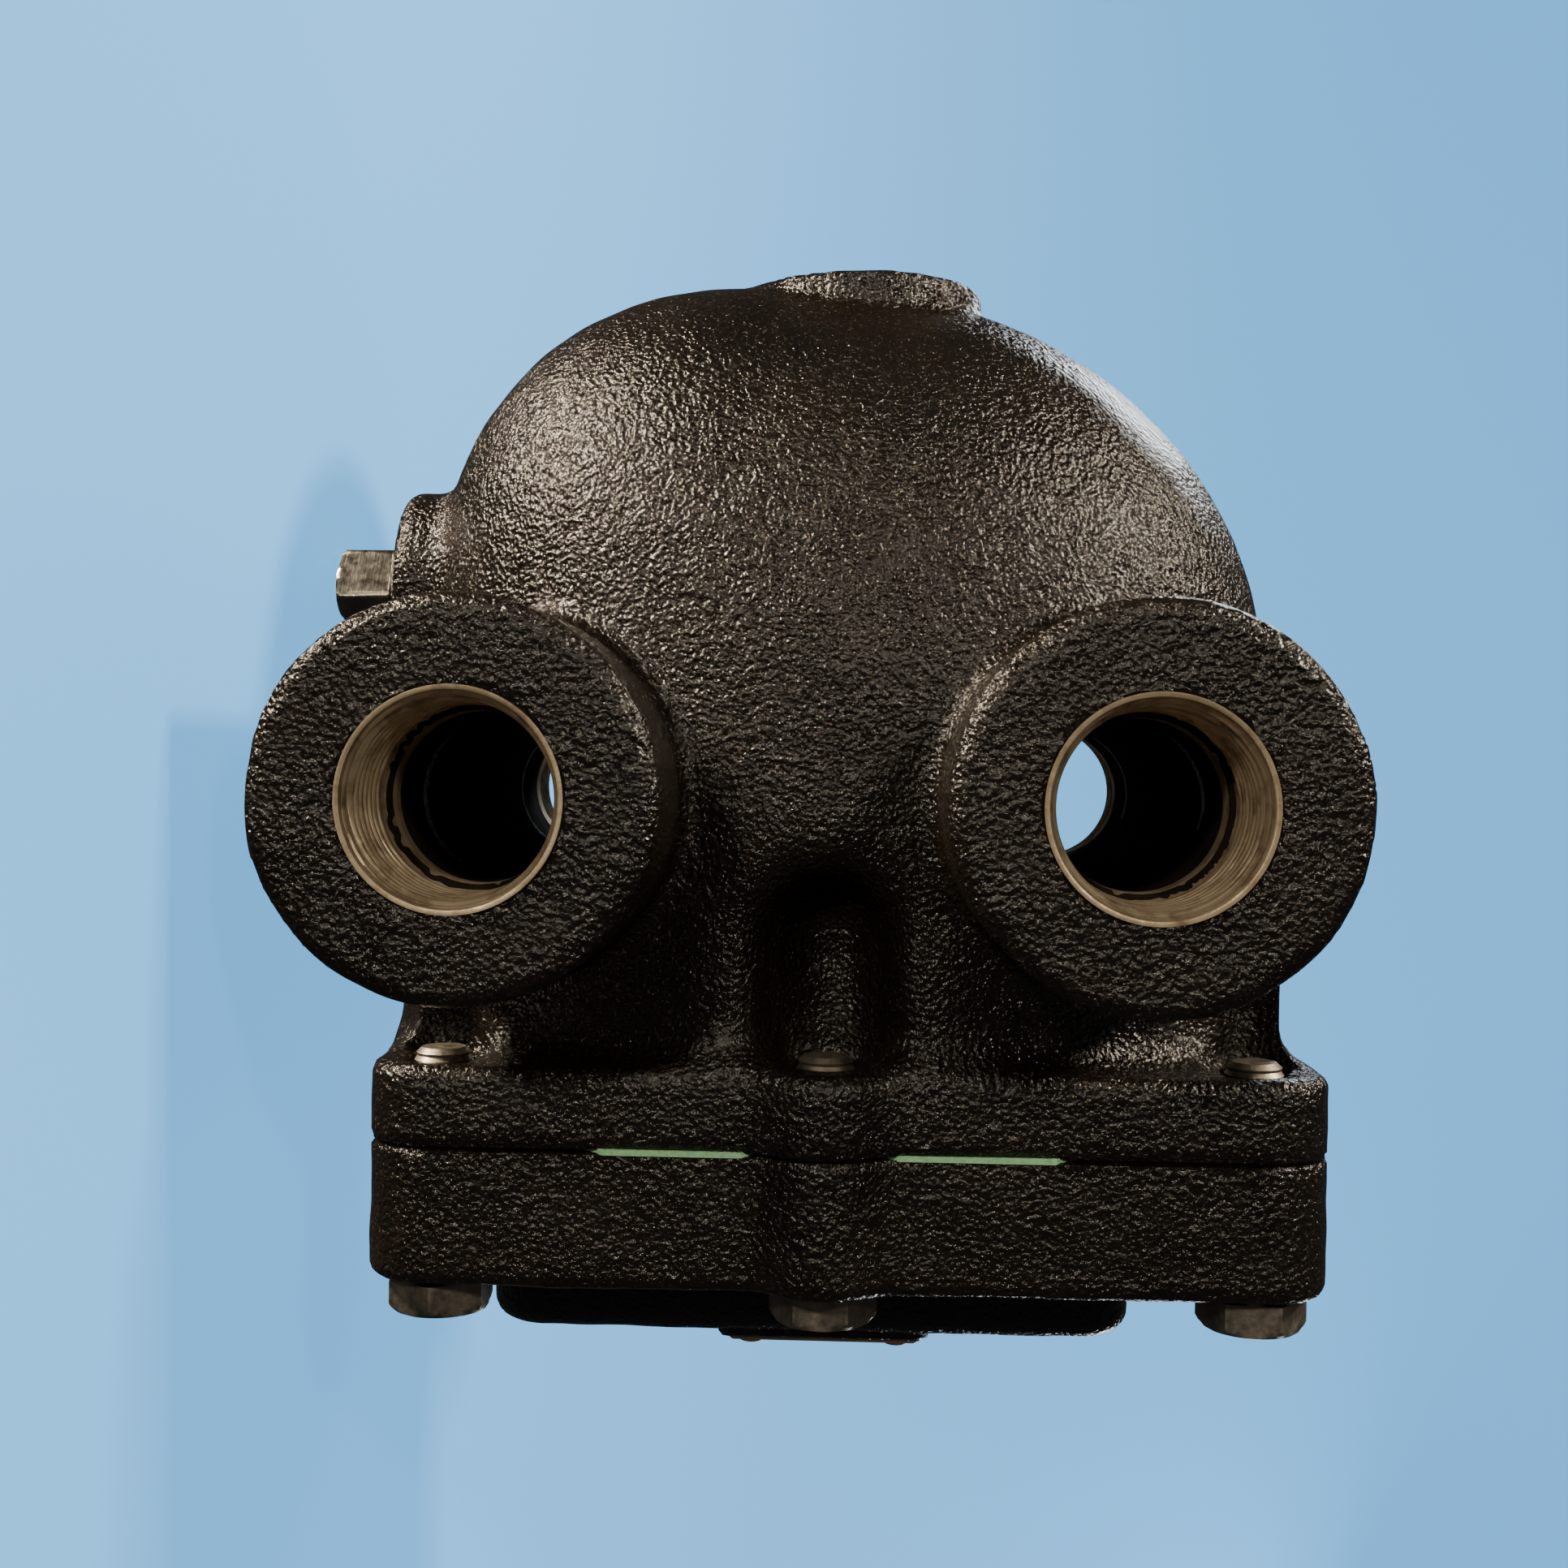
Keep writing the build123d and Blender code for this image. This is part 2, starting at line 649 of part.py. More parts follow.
def vent_capsule():
    """Sealed pair of diaphragms with a joined rim and a socket for the plunger."""
    low_x, high_x = capsule_x - capsule_rim, capsule_x + capsule_rim
    shape = rod(capsule_radius, (low_x, mid_y, vent_z), (high_x, mid_y, vent_z))
    for side in (-1, 1):
        end_x = capsule_x + side * capsule_half
        shape += taper(capsule_base, capsule_crown, (capsule_x, mid_y, vent_z), (end_x, mid_y, vent_z))
    socket = plunger_radius + plunger_play
    return shape - rod(socket, (capsule_x - 1, mid_y, vent_z), (capsule_x + capsule_half, mid_y, vent_z))


def vent_plunger():
    """Plunger and ball that shut the vent as the capsule swells."""
    lip_x = cover_inner_x - ring_thickness - vent_hex - vent_lip
    seated_x = lip_x - (plunger_ball ** 2 - vent_bore ** 2) ** 0.5
    ball_x = seated_x - plunger_gap - plunger_travel
    stem = rod(plunger_radius, (capsule_x + plunger_play, mid_y, vent_z), (ball_x, mid_y, vent_z))
    return stem + Pos(ball_x, mid_y, vent_z) * Sphere(plunger_ball)


def vent_spacer():
    """Ring under the capsule on three feet."""
    low_x = capsule_x + capsule_rim
    high_x = low_x + spacer_thickness
    foot_ring = capsule_radius - spacer_foot_radius
    shape = rod(capsule_radius, (low_x, mid_y, vent_z), (high_x, mid_y, vent_z))
    shape -= rod(foot_ring - spacer_foot_radius, (low_x, mid_y, vent_z), (high_x, mid_y, vent_z))
    for turn in spacer_foot_turns:
        y = mid_y + foot_ring * cos(radians(turn))
        z = vent_z + foot_ring * sin(radians(turn))
        shape += rod(spacer_foot_radius, (low_x, y, z), (cover_inner_x, y, z))
    return shape


def vent_cage():
    """Bent strap that spans the capsule and is screwed to the cover at both feet."""
    low_z, high_z = vent_z - cage_half_width, vent_z + cage_half_width
    sheet_x = cage_top_x + cage_sheet
    shape = block((cage_top_x, mid_y - cage_span, low_z), (sheet_x, mid_y + cage_span, high_z))
    for side in (-1, 1):
        leg = sorted((mid_y + side * (cage_span - cage_sheet), mid_y + side * cage_span))
        foot = sorted((mid_y + side * (cage_span - cage_sheet), mid_y + side * cage_foot))
        shape += block((cage_top_x, leg[0], low_z), (cover_inner_x, leg[1], high_z))
        shape += block((cover_inner_x - cage_sheet, foot[0], low_z), (cover_inner_x, foot[1], high_z))
    for y, z in cage_screw_places():
        shape -= rod(small_screw_hole, (cover_inner_x - cage_sheet, y, z), (cover_inner_x, y, z))
    return shape


def capsule_spring():
    """Conical spring washer that holds the capsule on its spacer."""
    near_x, far_x = cage_top_x + cage_sheet, capsule_x - capsule_half
    (wide, wide_hole), (narrow, narrow_hole) = spring_large_end, spring_small_end
    outer = taper(wide, narrow, (near_x, mid_y, vent_z), (far_x, mid_y, vent_z))
    inner = taper(wide_hole, narrow_hole, (near_x, mid_y, vent_z), (far_x, mid_y, vent_z))
    return outer - inner


def main():
    os.makedirs("parts", exist_ok=True)
    save("body_casting", body_casting())
    save("drain_plug", drain_plug())
    save("cover_casting", cover_casting())
    save("cover_gasket", cover_gasket())
    save("cover_bolts", *[cover_bolt(y, z) for y, z in bolt_places()])
    save("nameplate", nameplate())
    save("nameplate_pins", *[nameplate_pin(y, z) for y, z in plate_pin_places()])
    save("main_seat", main_seat())
    save("main_seat_ring", seat_ring(seat_z, seat_flats, seat_thread_radius))
    save("float_lever", float_lever())
    save("float_ball", float_ball())
    save("float_washer", float_washer())
    save("float_screw", float_screw())
    save("valve_head", valve_head())
    save("valve_pin", valve_pin())
    save("lever_bracket", lever_bracket())
    save("pivot_pin", pivot_pin())
    save("pivot_clip", pivot_clip())
    base_x = cover_inner_x - bracket_base
    save("bracket_screws", *[small_screw(y, z, base_x) for y, z in bracket_screw_places()])
    save("vent_seat", vent_seat())
    save("vent_seat_ring", seat_ring(vent_z, vent_flats, vent_thread_radius))
    save("vent_capsule", vent_capsule())
    save("vent_plunger", vent_plunger())
    save("vent_spacer", vent_spacer())
    save("vent_cage", vent_cage())
    foot_x = cover_inner_x - cage_sheet
    save("vent_cage_screws", *[small_screw(y, z, foot_x) for y, z in cage_screw_places()])
    save("capsule_spring", capsule_spring())


main()
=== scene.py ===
import json
import math

import bpy
import numpy as np
from mathutils import Matrix, Vector, noise


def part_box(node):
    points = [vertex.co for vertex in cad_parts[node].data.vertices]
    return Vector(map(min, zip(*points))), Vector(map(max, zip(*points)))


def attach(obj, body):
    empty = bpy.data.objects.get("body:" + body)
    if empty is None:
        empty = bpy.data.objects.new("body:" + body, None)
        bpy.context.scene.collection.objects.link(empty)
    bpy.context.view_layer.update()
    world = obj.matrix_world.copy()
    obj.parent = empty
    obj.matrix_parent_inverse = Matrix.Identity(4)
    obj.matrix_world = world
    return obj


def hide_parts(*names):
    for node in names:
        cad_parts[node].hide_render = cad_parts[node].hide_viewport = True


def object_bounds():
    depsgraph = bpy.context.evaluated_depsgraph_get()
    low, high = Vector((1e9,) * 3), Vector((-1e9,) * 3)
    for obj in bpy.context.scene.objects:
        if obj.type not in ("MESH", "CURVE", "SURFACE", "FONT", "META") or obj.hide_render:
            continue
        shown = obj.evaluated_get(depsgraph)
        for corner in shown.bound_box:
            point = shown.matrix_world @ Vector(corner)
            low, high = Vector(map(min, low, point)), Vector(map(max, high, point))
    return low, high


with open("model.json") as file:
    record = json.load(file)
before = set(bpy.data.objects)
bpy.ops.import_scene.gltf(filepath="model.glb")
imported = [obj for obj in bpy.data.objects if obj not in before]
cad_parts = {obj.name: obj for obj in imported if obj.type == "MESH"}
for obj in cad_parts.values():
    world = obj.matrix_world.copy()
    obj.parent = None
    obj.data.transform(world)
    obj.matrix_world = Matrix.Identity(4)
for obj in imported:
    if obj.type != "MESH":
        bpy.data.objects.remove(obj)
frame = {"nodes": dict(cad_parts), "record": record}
cad_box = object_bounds()

# Cast iron float and thermostatic steam trap. The castings are built as distance fields in
# millimetres, turned into meshes and replaced over the plain CAD castings. Fasteners, plug,
# thread bores and nameplate are lathe and sheet work. The valve gear keeps its CAD solids.
# +Z is up as installed, -Y is out of the front ports, +X is out through the cover.

MM = 0.001


def box_mm(node):
    """Corners of a CAD node in millimetres."""
    low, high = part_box(node)
    return np.array(low) / MM, np.array(high) / MM


# Sizes taken from the frame

mounts = {mount["name"]: np.array(mount["pos_m"]) / MM for mount in frame["record"]["mounts"]}
inlet_z = mounts["inlet_front"][2]
outlet_z = mounts["outlet_front"][2]
run_heights = (inlet_z, outlet_z)
body_low, body_high = box_mm("body_casting")
cover_low, cover_high = box_mm("cover_casting")
gasket_low, gasket_high = box_mm("cover_gasket")
bolts_low, bolts_high = box_mm("cover_bolts")
plug_low, plug_high = box_mm("drain_plug")
plate_low, plate_high = box_mm("nameplate")

front_y, rear_y = body_low[1], body_high[1]
mid_y = (front_y + rear_y) / 2
boss_radius = outlet_z - body_low[2]
boss_depth = 36.0
mating_x = gasket_low[0]
flange_x = mating_x - 10.5
cover_inner_x = cover_low[0]
cover_outer_x = cover_inner_x + 18.0
lobe_rise = 4.0
flange_half = np.array([(cover_high[1] - cover_low[1]) / 2 - lobe_rise, (cover_high[2] - cover_low[2]) / 2])
flange_z = (cover_high[2] + cover_low[2]) / 2
flange_corner = 9.0
lobe_radius = 9.5
joint_squeeze = 0.2
gasket_lip = 1.0              # the gasket reaches this far past the chamber wall
plate_pad_height = 1.7
plate_pad_margin = 1.4

head_flats = 12.7
head_corner = head_flats / math.sqrt(3)
bolt_radius = 3.95
centre_bolt_z = -39.5
centre_bolt_y = (bolts_low[1] + head_corner, bolts_high[1] - head_corner)
corner_inset = 9.5
corner_bolt_y = (mid_y - flange_half[0] + corner_inset, mid_y + flange_half[0] - corner_inset)
corner_bolt_z = (flange_z - flange_half[1] + corner_inset, flange_z + flange_half[1] - corner_inset)
bolt_places = [(y, z) for y in corner_bolt_y for z in corner_bolt_z]
bolt_places += [(y, centre_bolt_z) for y in centre_bolt_y]

wall = 5.5
dome_centre = (-15.5, mid_y, -37.2)
dome_radii = (61.0, 47.0, 63.5)
shoulder_centre = (-33.5, mid_y, -56.7)
shoulder_radii = (44.0, 40.2, 44.0)
thread_mouth = 13.5
thread_depth = 17.0
run_radius = 11.2
run_wall = 17.0
return_radius = 6.5
drain_centre = (plug_low[0] + plug_high[0]) / 2
drain_face_z = plug_high[2] - 11.5


# Distance fields: negative inside, millimetres

def smooth_min(a, b, blend):
    """Union of two fields with a fillet about as large as blend."""
    overlap = np.maximum(blend - np.abs(a - b), 0) / blend
    return np.minimum(a, b) - overlap * overlap * blend / 4


def smooth_cut(a, b, blend):
    """Field a with field b taken out and the cut edge eased."""
    return -smooth_min(-a, b, blend)


def cut(a, b):
    return np.maximum(a, -b)


def ellipsoid(point, centre, radii, open_x=False):
    """Ellipsoid. With open_x it runs on as an elliptical barrel towards +X."""
    offset = [p - c for p, c in zip(point, centre)]
    if open_x:
        offset[0] = np.minimum(offset[0], 0)
    scaled = np.sqrt(sum((o / r) ** 2 for o, r in zip(offset, radii)))
    slope = np.sqrt(sum((o / r ** 2) ** 2 for o, r in zip(offset, radii)))
    return scaled * (scaled - 1) / np.maximum(slope, 1e-6)


def puck(radial, axial, radius, half, edge):
    """Round disc or rod from its radial and axial distances, with rounded rims."""
    across = radial - (radius - edge)
    along = np.abs(axial) - (half - edge)
    outside = np.hypot(np.maximum(across, 0), np.maximum(along, 0))
    return np.minimum(np.maximum(across, along), 0) + outside - edge


def rod_x(point, y, z, radius, low, high, edge=0.05):
    radial = np.hypot(point[1] - y, point[2] - z)
    return puck(radial, point[0] - (low + high) / 2, radius, (high - low) / 2, edge)


def rod_y(point, x, z, radius, low, high, edge=0.05):
    radial = np.hypot(point[0] - x, point[2] - z)
    return puck(radial, point[1] - (low + high) / 2, radius, (high - low) / 2, edge)


def rod_z(point, x, y, radius, low, high, edge=0.05):
    radial = np.hypot(point[0] - x, point[1] - y)
    return puck(radial, point[2] - (low + high) / 2, radius, (high - low) / 2, edge)


def brick(point, low, high, edge):
    """Box between two corners with rounded edges."""
    gaps = [np.abs(p - (a + b) / 2) - (b - a) / 2 + edge for p, a, b in zip(point, low, high)]
    outside = np.sqrt(sum(np.maximum(g, 0) ** 2 for g in gaps))
    return np.minimum(np.maximum(np.maximum(gaps[0], gaps[1]), gaps[2]), 0) + outside - edge


def rounded_outline(point, centre_y, centre_z, half_y, half_z, corner):
    """Rounded rectangle in Y and Z."""
    gap_y = np.abs(point[1] - centre_y) - half_y + corner
    gap_z = np.abs(point[2] - centre_z) - half_z + corner
    outside = np.hypot(np.maximum(gap_y, 0), np.maximum(gap_z, 0))
    return np.minimum(np.maximum(gap_y, gap_z), 0) + outside - corner


def sheet_of(outline, x, low, high, edge):
    """Outline in Y and Z given thickness along X, with rounded edges."""
    across = outline + edge
    along = np.abs(x - (low + high) / 2) - (high - low) / 2 + edge
    outside = np.hypot(np.maximum(across, 0), np.maximum(along, 0))
    return np.minimum(np.maximum(across, along), 0) + outside - edge


def flange_outline(point):
    """Flange shape in Y and Z: rounded corners and a lobe in the middle of each long side."""
    outline = rounded_outline(point, mid_y, flange_z, flange_half[0], flange_half[1], flange_corner)
    for side in (-1, 1):
        lobe_y = mid_y + side * (flange_half[0] + lobe_rise - lobe_radius)
        lobe = np.hypot(point[1] - lobe_y, point[2] - centre_bolt_z) - lobe_radius
        outline = smooth_min(outline, lobe, 3.0)
    return outline


def flange_field(point, low, high, edge):
    return sheet_of(flange_outline(point), point[0], low, high, edge)


def chamber_field(point, inset):
    """Domed float chamber. The lower shoulder is fuller than the upper one."""
    main = ellipsoid(point, dome_centre, [r - inset for r in dome_radii], open_x=True)
    shoulder = ellipsoid(point, shoulder_centre, [r - inset for r in shoulder_radii], open_x=True)
    return smooth_min(main, np.maximum(shoulder, point[0] - 5), 6.0)


def body_outside(point):
    """Everything cast on the body, before it is cored and drilled."""
    field = chamber_field(point, 0)
    field = np.maximum(field, point[0] - mating_x + 3)
    for low_z, high_z in ((outlet_z - 17.0, outlet_z + 17.5), (inlet_z - 17.5, inlet_z + 21.0)):
        skirt = brick(point, (-2, mid_y - 33.5, low_z), (mating_x - 3, mid_y + 33.5, high_z), 11.0)
        field = smooth_min(field, skirt, 10.0)
    for y in centre_bolt_y:
        inward = 1 if y < mid_y else -1
        pocket = rod_x(point, y - inward * 1.5, centre_bolt_z, 7.4, 12.0, mating_x + 8, 7.3)
        field = smooth_cut(field, pocket, 11.0)
        lean = (flange_x - point[0]) * 0.30
        column = (point[0], point[1] - inward * lean, point[2])
        column = rod_x(column, y + inward * 5.0, centre_bolt_z, 2.7, 23.0, mating_x - 3, 2.4)
        field = smooth_min(field, column, 2.5)
    for y, z in bolt_places[:4]:
        inward = 1 if y < mid_y else -1
        field = smooth_cut(field, rod_x(point, y, z, 6.0, 26.0, mating_x + 8, 4.5), 5.0)
        field = smooth_min(field, rod_x(point, y + inward * 6.0, z, 4.6, 18.0, mating_x - 3, 3.0), 4.0)
    for z in run_heights:
        field = smooth_min(field, rod_y(point, 0, z, run_wall, boss_depth, rear_y - boss_depth, 1), 4.0)
        for low, high in ((front_y, boss_depth), (rear_y - boss_depth, rear_y)):
            field = smooth_min(field, rod_y(point, 0, z, boss_radius, low, high, 1.9), 3.5)
    drain = rod_z(point, drain_centre, mid_y, 15.0, drain_face_z, drain_face_z + 16, 2.6)
    field = smooth_min(field, drain, 3.0)
    pad = rod_x(point, mid_y, -35.8, 18.2, body_low[0], body_low[0] + 14, 1.3)
    field = smooth_min(field, pad, 1.6)
    field = smooth_min(field, flange_field(point, flange_x, mating_x + 3, 1.8), 5.5)
    for y, z in bolt_places:
        field = smooth_cut(field, rod_x(point, y, z, 6.4, 20, flange_x + 0.3, 0.8), 1.0)
    return field


def body_field(point):
    """Body casting with its float chamber, runs, ports and holes."""
    chamber = chamber_field(point, wall)
    for z in run_heights:
        chamber = cut(chamber, np.hypot(point[0], point[2] - z) - run_wall)
    chamber = cut(chamber, np.hypot(point[1] - mid_y, point[2] - outlet_z) - 11)
    for y in centre_bolt_y:
        chamber = cut(chamber, rod_x(point, y, centre_bolt_z, 16.5, 2, mating_x + 5))
    for y, z in bolt_places[:4]:
        chamber = cut(chamber, rod_x(point, y, z, 13.5, 14, mating_x + 5))
    field = cut(body_outside(point), chamber)
    for z in run_heights:
        field = cut(field, np.hypot(point[0], point[2] - z) - run_radius)
        for low, high in ((front_y - 5, thread_depth), (rear_y - thread_depth, rear_y + 5)):
            field = cut(field, rod_y(point, 0, z, thread_mouth, low, high))
    field = cut(field, rod_x(point, mid_y, outlet_z, return_radius, 0, mating_x + 5))
    window = brick(point, (-6.5, mid_y - 15, inlet_z - run_wall - 1), (6.5, mid_y + 15, inlet_z), 3)
    field = cut(field, window)
    field = cut(field, rod_z(point, drain_centre, mid_y, 6.9, drain_face_z - 5, drain_face_z + 30))
    for y, z in bolt_places:
        field = cut(field, rod_x(point, y, z, bolt_radius + 0.15, flange_x - 3, mating_x + 5))
    return np.maximum(field, point[0] - mating_x - joint_squeeze)


def cover_field(point):
    """Cover with the raised rib of its outlet passage and the pad of the nameplate."""
    rib_top = plate_low[0] - plate_pad_height
    outline = rounded_outline(point, mid_y, -41.8, 29.0, 45.85, 8.0)
    rib = sheet_of(outline, point[0], cover_inner_x + 5, rib_top, 3.4)
    field = smooth_min(flange_field(point, cover_inner_x - 3, cover_outer_x, 1.7), rib, 3.0)
    field = np.maximum(field, cover_inner_x - joint_squeeze - point[0])
    plate_mid = (plate_low + plate_high) / 2
    plate_half = (plate_high - plate_low) / 2 + plate_pad_margin
    outline = rounded_outline(point, plate_mid[1], plate_mid[2], plate_half[1], plate_half[2], 2.0)
    field = smooth_min(field, sheet_of(outline, point[0], rib_top - 3, cover_high[0], 0.6), 1.2)
    field = cut(field, rod_z(point, 59.5, mid_y, 6.0, -88.0, -8.0, 5.9))
    for z, radius in ((outlet_z, return_radius), (-60.1, 6.95), (-14.0, 5.05)):
        field = cut(field, rod_x(point, mid_y, z, radius, cover_inner_x - 5, 59.5))
    for y, z in bolt_places:
        field = cut(field, rod_x(point, y, z, bolt_radius + 0.35, cover_inner_x - 5, cover_outer_x + 5))
    for y in (mid_y - 8, mid_y + 8):
        field = cut(field, rod_x(point, y, -34.0, 2.5, cover_inner_x - 5, cover_inner_x + 6))
    for y in (mid_y - 24.5, mid_y + 24.5):
        field = cut(field, rod_x(point, y, -14.0, 2.5, cover_inner_x - 5, cover_inner_x + 6))
    return field


# Meshes from fields

def surface_nets(values, origin, step):
    """Vertices and quads of the zero surface of a sampled field."""
    inside = values < 0
    cells = tuple(n - 1 for n in values.shape)
    total = np.zeros(cells + (3,))
    count = np.zeros(cells)

    def corner(array, offset):
        return array[tuple(slice(o, o + n) for o, n in zip(offset, cells))]

    for axis in range(3):
        others = [a for a in range(3) if a != axis]
        for first in (0, 1):
            for second in (0, 1):
                near = [0, 0, 0]
                near[others[0]], near[others[1]] = first, second
                far = list(near)
                far[axis] = 1
                a, b = corner(values, near), corner(values, far)
                crossing = corner(inside, near) != corner(inside, far)
                share = np.where(crossing, a / np.where(crossing, a - b, 1), 0)
                for k in range(3):
                    place = share if k == axis else near[k]
                    total[..., k] += np.where(crossing, place, 0)
                count += crossing
    used = count > 0
    index = np.full(cells, -1)
    index[used] = np.arange(used.sum())
    places = np.argwhere(used) + total[used] / count[used][:, None]
    vertices = np.array(origin) + places * step

    quads = []
    for axis in range(3):
        u, v = [(1, 2), (2, 0), (0, 1)][axis]
        near = [slice(1, -1)] * 3
        near[axis] = slice(0, -1)
        far = list(near)
        far[axis] = slice(1, None)
        starts, ends = inside[tuple(near)], inside[tuple(far)]
        ring = []
        for du, dv in ((1, 1), (0, 1), (0, 0), (1, 0)):
            window = [slice(1, None)] * 3
            window[axis] = slice(0, None)
            window[u] = slice(1 - du, window_end(cells[u], du))
            window[v] = slice(1 - dv, window_end(cells[v], dv))
            ring.append(index[tuple(window)])
        ring = np.stack(ring, axis=-1)
        quads.append(ring[starts & ~ends][:, ::-1])
        quads.append(ring[~starts & ends])
    quads = np.concatenate(quads)
    return vertices, quads


def window_end(length, shifted):
    """End of a window that leaves out the last cell when shifted back by one."""
    return length - 1 if shifted else length


def field_slope(field, vertices):
    """Gradient of a field at the vertices."""
    reach = 0.08
    slope = np.empty_like(vertices)
    for axis in range(3):
        ahead, behind = vertices.copy(), vertices.copy()
        ahead[:, axis] += reach
        behind[:, axis] -= reach
        slope[:, axis] = (field(ahead.T) - field(behind.T)) / (2 * reach)
    return slope


def settle(field, vertices, step):
    """Vertices moved onto the zero surface, by no more than half a cell."""
    settled = vertices.copy()
    for _ in range(3):
        slope = field_slope(field, settled)
        size = np.maximum((slope ** 2).sum(axis=1), 0.25)
        settled -= slope * (field(settled.T) / size)[:, None]
    shift = settled - vertices
    length = np.linalg.norm(shift, axis=1)
    allowed = np.minimum(1, 0.5 * step / np.maximum(length, 1e-9))
    return vertices + shift * allowed[:, None]


def cast_waviness(vertices, slope, keep_smooth):
    """Uneven sand-cast surface: slow swells and small lumps along the normal."""
    normal = slope / np.maximum(np.linalg.norm(slope, axis=1), 1e-6)[:, None]
    lift = np.empty(len(vertices))
    for i, vertex in enumerate(vertices):
        point = Vector(vertex)
        lift[i] = 0.22 * noise.noise(point / 11.0) + 0.10 * noise.noise(point / 3.4)
    return vertices + normal * (lift * keep_smooth(vertices.T))[:, None]


def mesh_object(name, vertices, faces, sharp=38):
    """Object from millimetre vertices, smooth shaded with sharp edges kept."""
    mesh = bpy.data.meshes.new(name)
    mesh.from_pydata((np.asarray(vertices) * MM).tolist(), [], [list(map(int, f)) for f in faces])
    mesh.validate()
    mesh.update()
    mesh.shade_smooth()
    mesh.set_sharp_from_angle(angle=math.radians(sharp))
    made = bpy.data.objects.new(name, mesh)
    bpy.context.scene.collection.objects.link(made)
    return made


def cast_object(name, field, low, high, step, keep_smooth):
    """Casting meshed from its field, with the unevenness of a sand casting."""
    low = np.array(low) - 2 * step
    high = np.array(high) + 3 * step
    axes = [np.arange(a, b, step) for a, b in zip(low, high)]
    grid = np.meshgrid(*axes, indexing="ij")
    vertices, quads = surface_nets(field(grid), low, step)
    vertices = settle(field, vertices, step)
    vertices = cast_waviness(vertices, field_slope(field, vertices), keep_smooth)
    return mesh_object(name, vertices, quads)


def body_unevenness(point):
    """Full on the outside, none on the machined joint face, in the bores and in the holes."""
    flat = np.clip((mating_x - point[0]) / 2.0, 0, 1)
    near_bolt = np.full_like(flat, 1.0)
    for y, z in bolt_places:
        near_bolt = np.minimum(near_bolt, np.hypot(point[1] - y, point[2] - z) - bolt_radius - 0.5)
    in_bore = np.full_like(flat, 1.0)
    for z in run_heights:
        in_bore = np.minimum(in_bore, np.hypot(point[0], point[2] - z) - thread_mouth - 0.4)
    return flat * np.clip(near_bolt, 0, 1) * np.clip(in_bore, 0, 1)


def cover_unevenness(point):
    flat = np.clip((point[0] - cover_inner_x) / 2.0, 0, 1)
    return flat * np.clip((cover_high[0] - 0.4 - point[0]) / 1.5, 0.15, 1)


# Lathe and sheet work

def lathe(name, profile, segments=128, closed=False, sharp=30, shape=None):
    """Turned piece about its own Z axis. Profile points are (radius, height).
    shape, when given, changes the radius at an angle and a height."""
    rows = []
    for radius, height in profile:
        turn = np.arange(segments) * 2 * math.pi / segments
        r = np.full(segments, radius) if shape is None else shape(radius, height, turn)
        rows.append(np.stack([r * np.cos(turn), r * np.sin(turn), np.full(segments, height)], axis=1))
    vertices = np.concatenate(rows)
    faces = []
    count = len(profile)
    for i in range(count if closed else count - 1):
        a, b = i * segments, (i + 1) % count * segments
        for j in range(segments):
            k = (j + 1) % segments
            faces.append((a + j, a + k, b + k, b + j))
    if not closed:
        faces.append(tuple(reversed(range(segments))))
        faces.append(tuple((count - 1) * segments + j for j in range(segments)))
    return mesh_object(name, vertices, faces, sharp)


def place(piece, origin, axis, turn=0.0):
    """Moves a piece's mesh so that its own Z axis runs along axis from origin, in millimetres."""
    z = Vector(axis).normalized()
    side = Vector((0, 0, 1)) if abs(z.z) < 0.9 else Vector((1, 0, 0))
    x = side.cross(z).normalized()
    y = z.cross(x)
    basis = Matrix((x, y, z)).transposed().to_4x4()
    spin = Matrix.Rotation(math.radians(turn), 4, "Z")
    piece.data.transform(Matrix.Translation(Vector(origin) * MM) @ basis @ spin)
    return piece


def thread_shape(pitch, depth, low, high, inward):
    """Radius with a rounded helical thread between two heights."""
    def radius_at(radius, height, turn):
        if not low <= height <= high:
            return np.full_like(turn, radius)
        fade = min(1.0, (height - low) / pitch, (high - height) / pitch)
        phase = (height / pitch - turn / (2 * math.pi)) % 1.0
        ridge = np.clip(1.5 * (1 - np.abs(2 * phase - 1)) - 0.25, 0, 1)
        return radius + (-inward) * depth * fade * (1 - ridge)
    return radius_at


def steps(low, high, size):
    """Evenly spaced heights from low to high, at most size apart."""
    count = max(2, int(math.ceil(abs(high - low) / size)) + 1)
    return np.linspace(low, high, count)


def join(name, pieces):
    """Several meshes as one object."""
    bpy.ops.object.select_all(action="DESELECT")
    for piece in pieces:
        piece.select_set(True)
    bpy.context.view_layer.objects.active = pieces[0]
    bpy.ops.object.join()
    pieces[0].name = name
    return pieces[0]


def port_thread(name, z, face_y, inward):
    """Machined inside of one port: chamfered mouth, NPT thread and the step to the cored run."""
    pitch = 1.814
    outer = thread_mouth + 0.25
    heights = steps(1.4, thread_depth - 0.6, 0.15)
    bore = [(12.95 - h / 32, h) for h in heights]
    profile = [(outer, 0.6), (outer, -0.02), (thread_mouth - 0.15, -0.03), (thread_mouth - 0.35, 0.05),
               (13.05, 1.2)] + bore
    profile += [(11.9, thread_depth + 0.3), (run_radius - 0.05, thread_depth + 1.2),
                (run_radius - 0.05, thread_depth + 5), (run_radius + 0.4, thread_depth + 5),
                (outer - 0.35, thread_depth - 0.4)]
    shape = thread_shape(pitch, 0.75, 1.0, thread_depth - 0.5, 1)

    def bore_only(radius, height, turn):
        return shape(radius, height, turn) if radius < 13.0 else np.full_like(turn, radius)

    piece = lathe(name, profile, segments=144, closed=True, sharp=50, shape=bore_only)
    return place(piece, (0, face_y, z), (0, inward, 0))


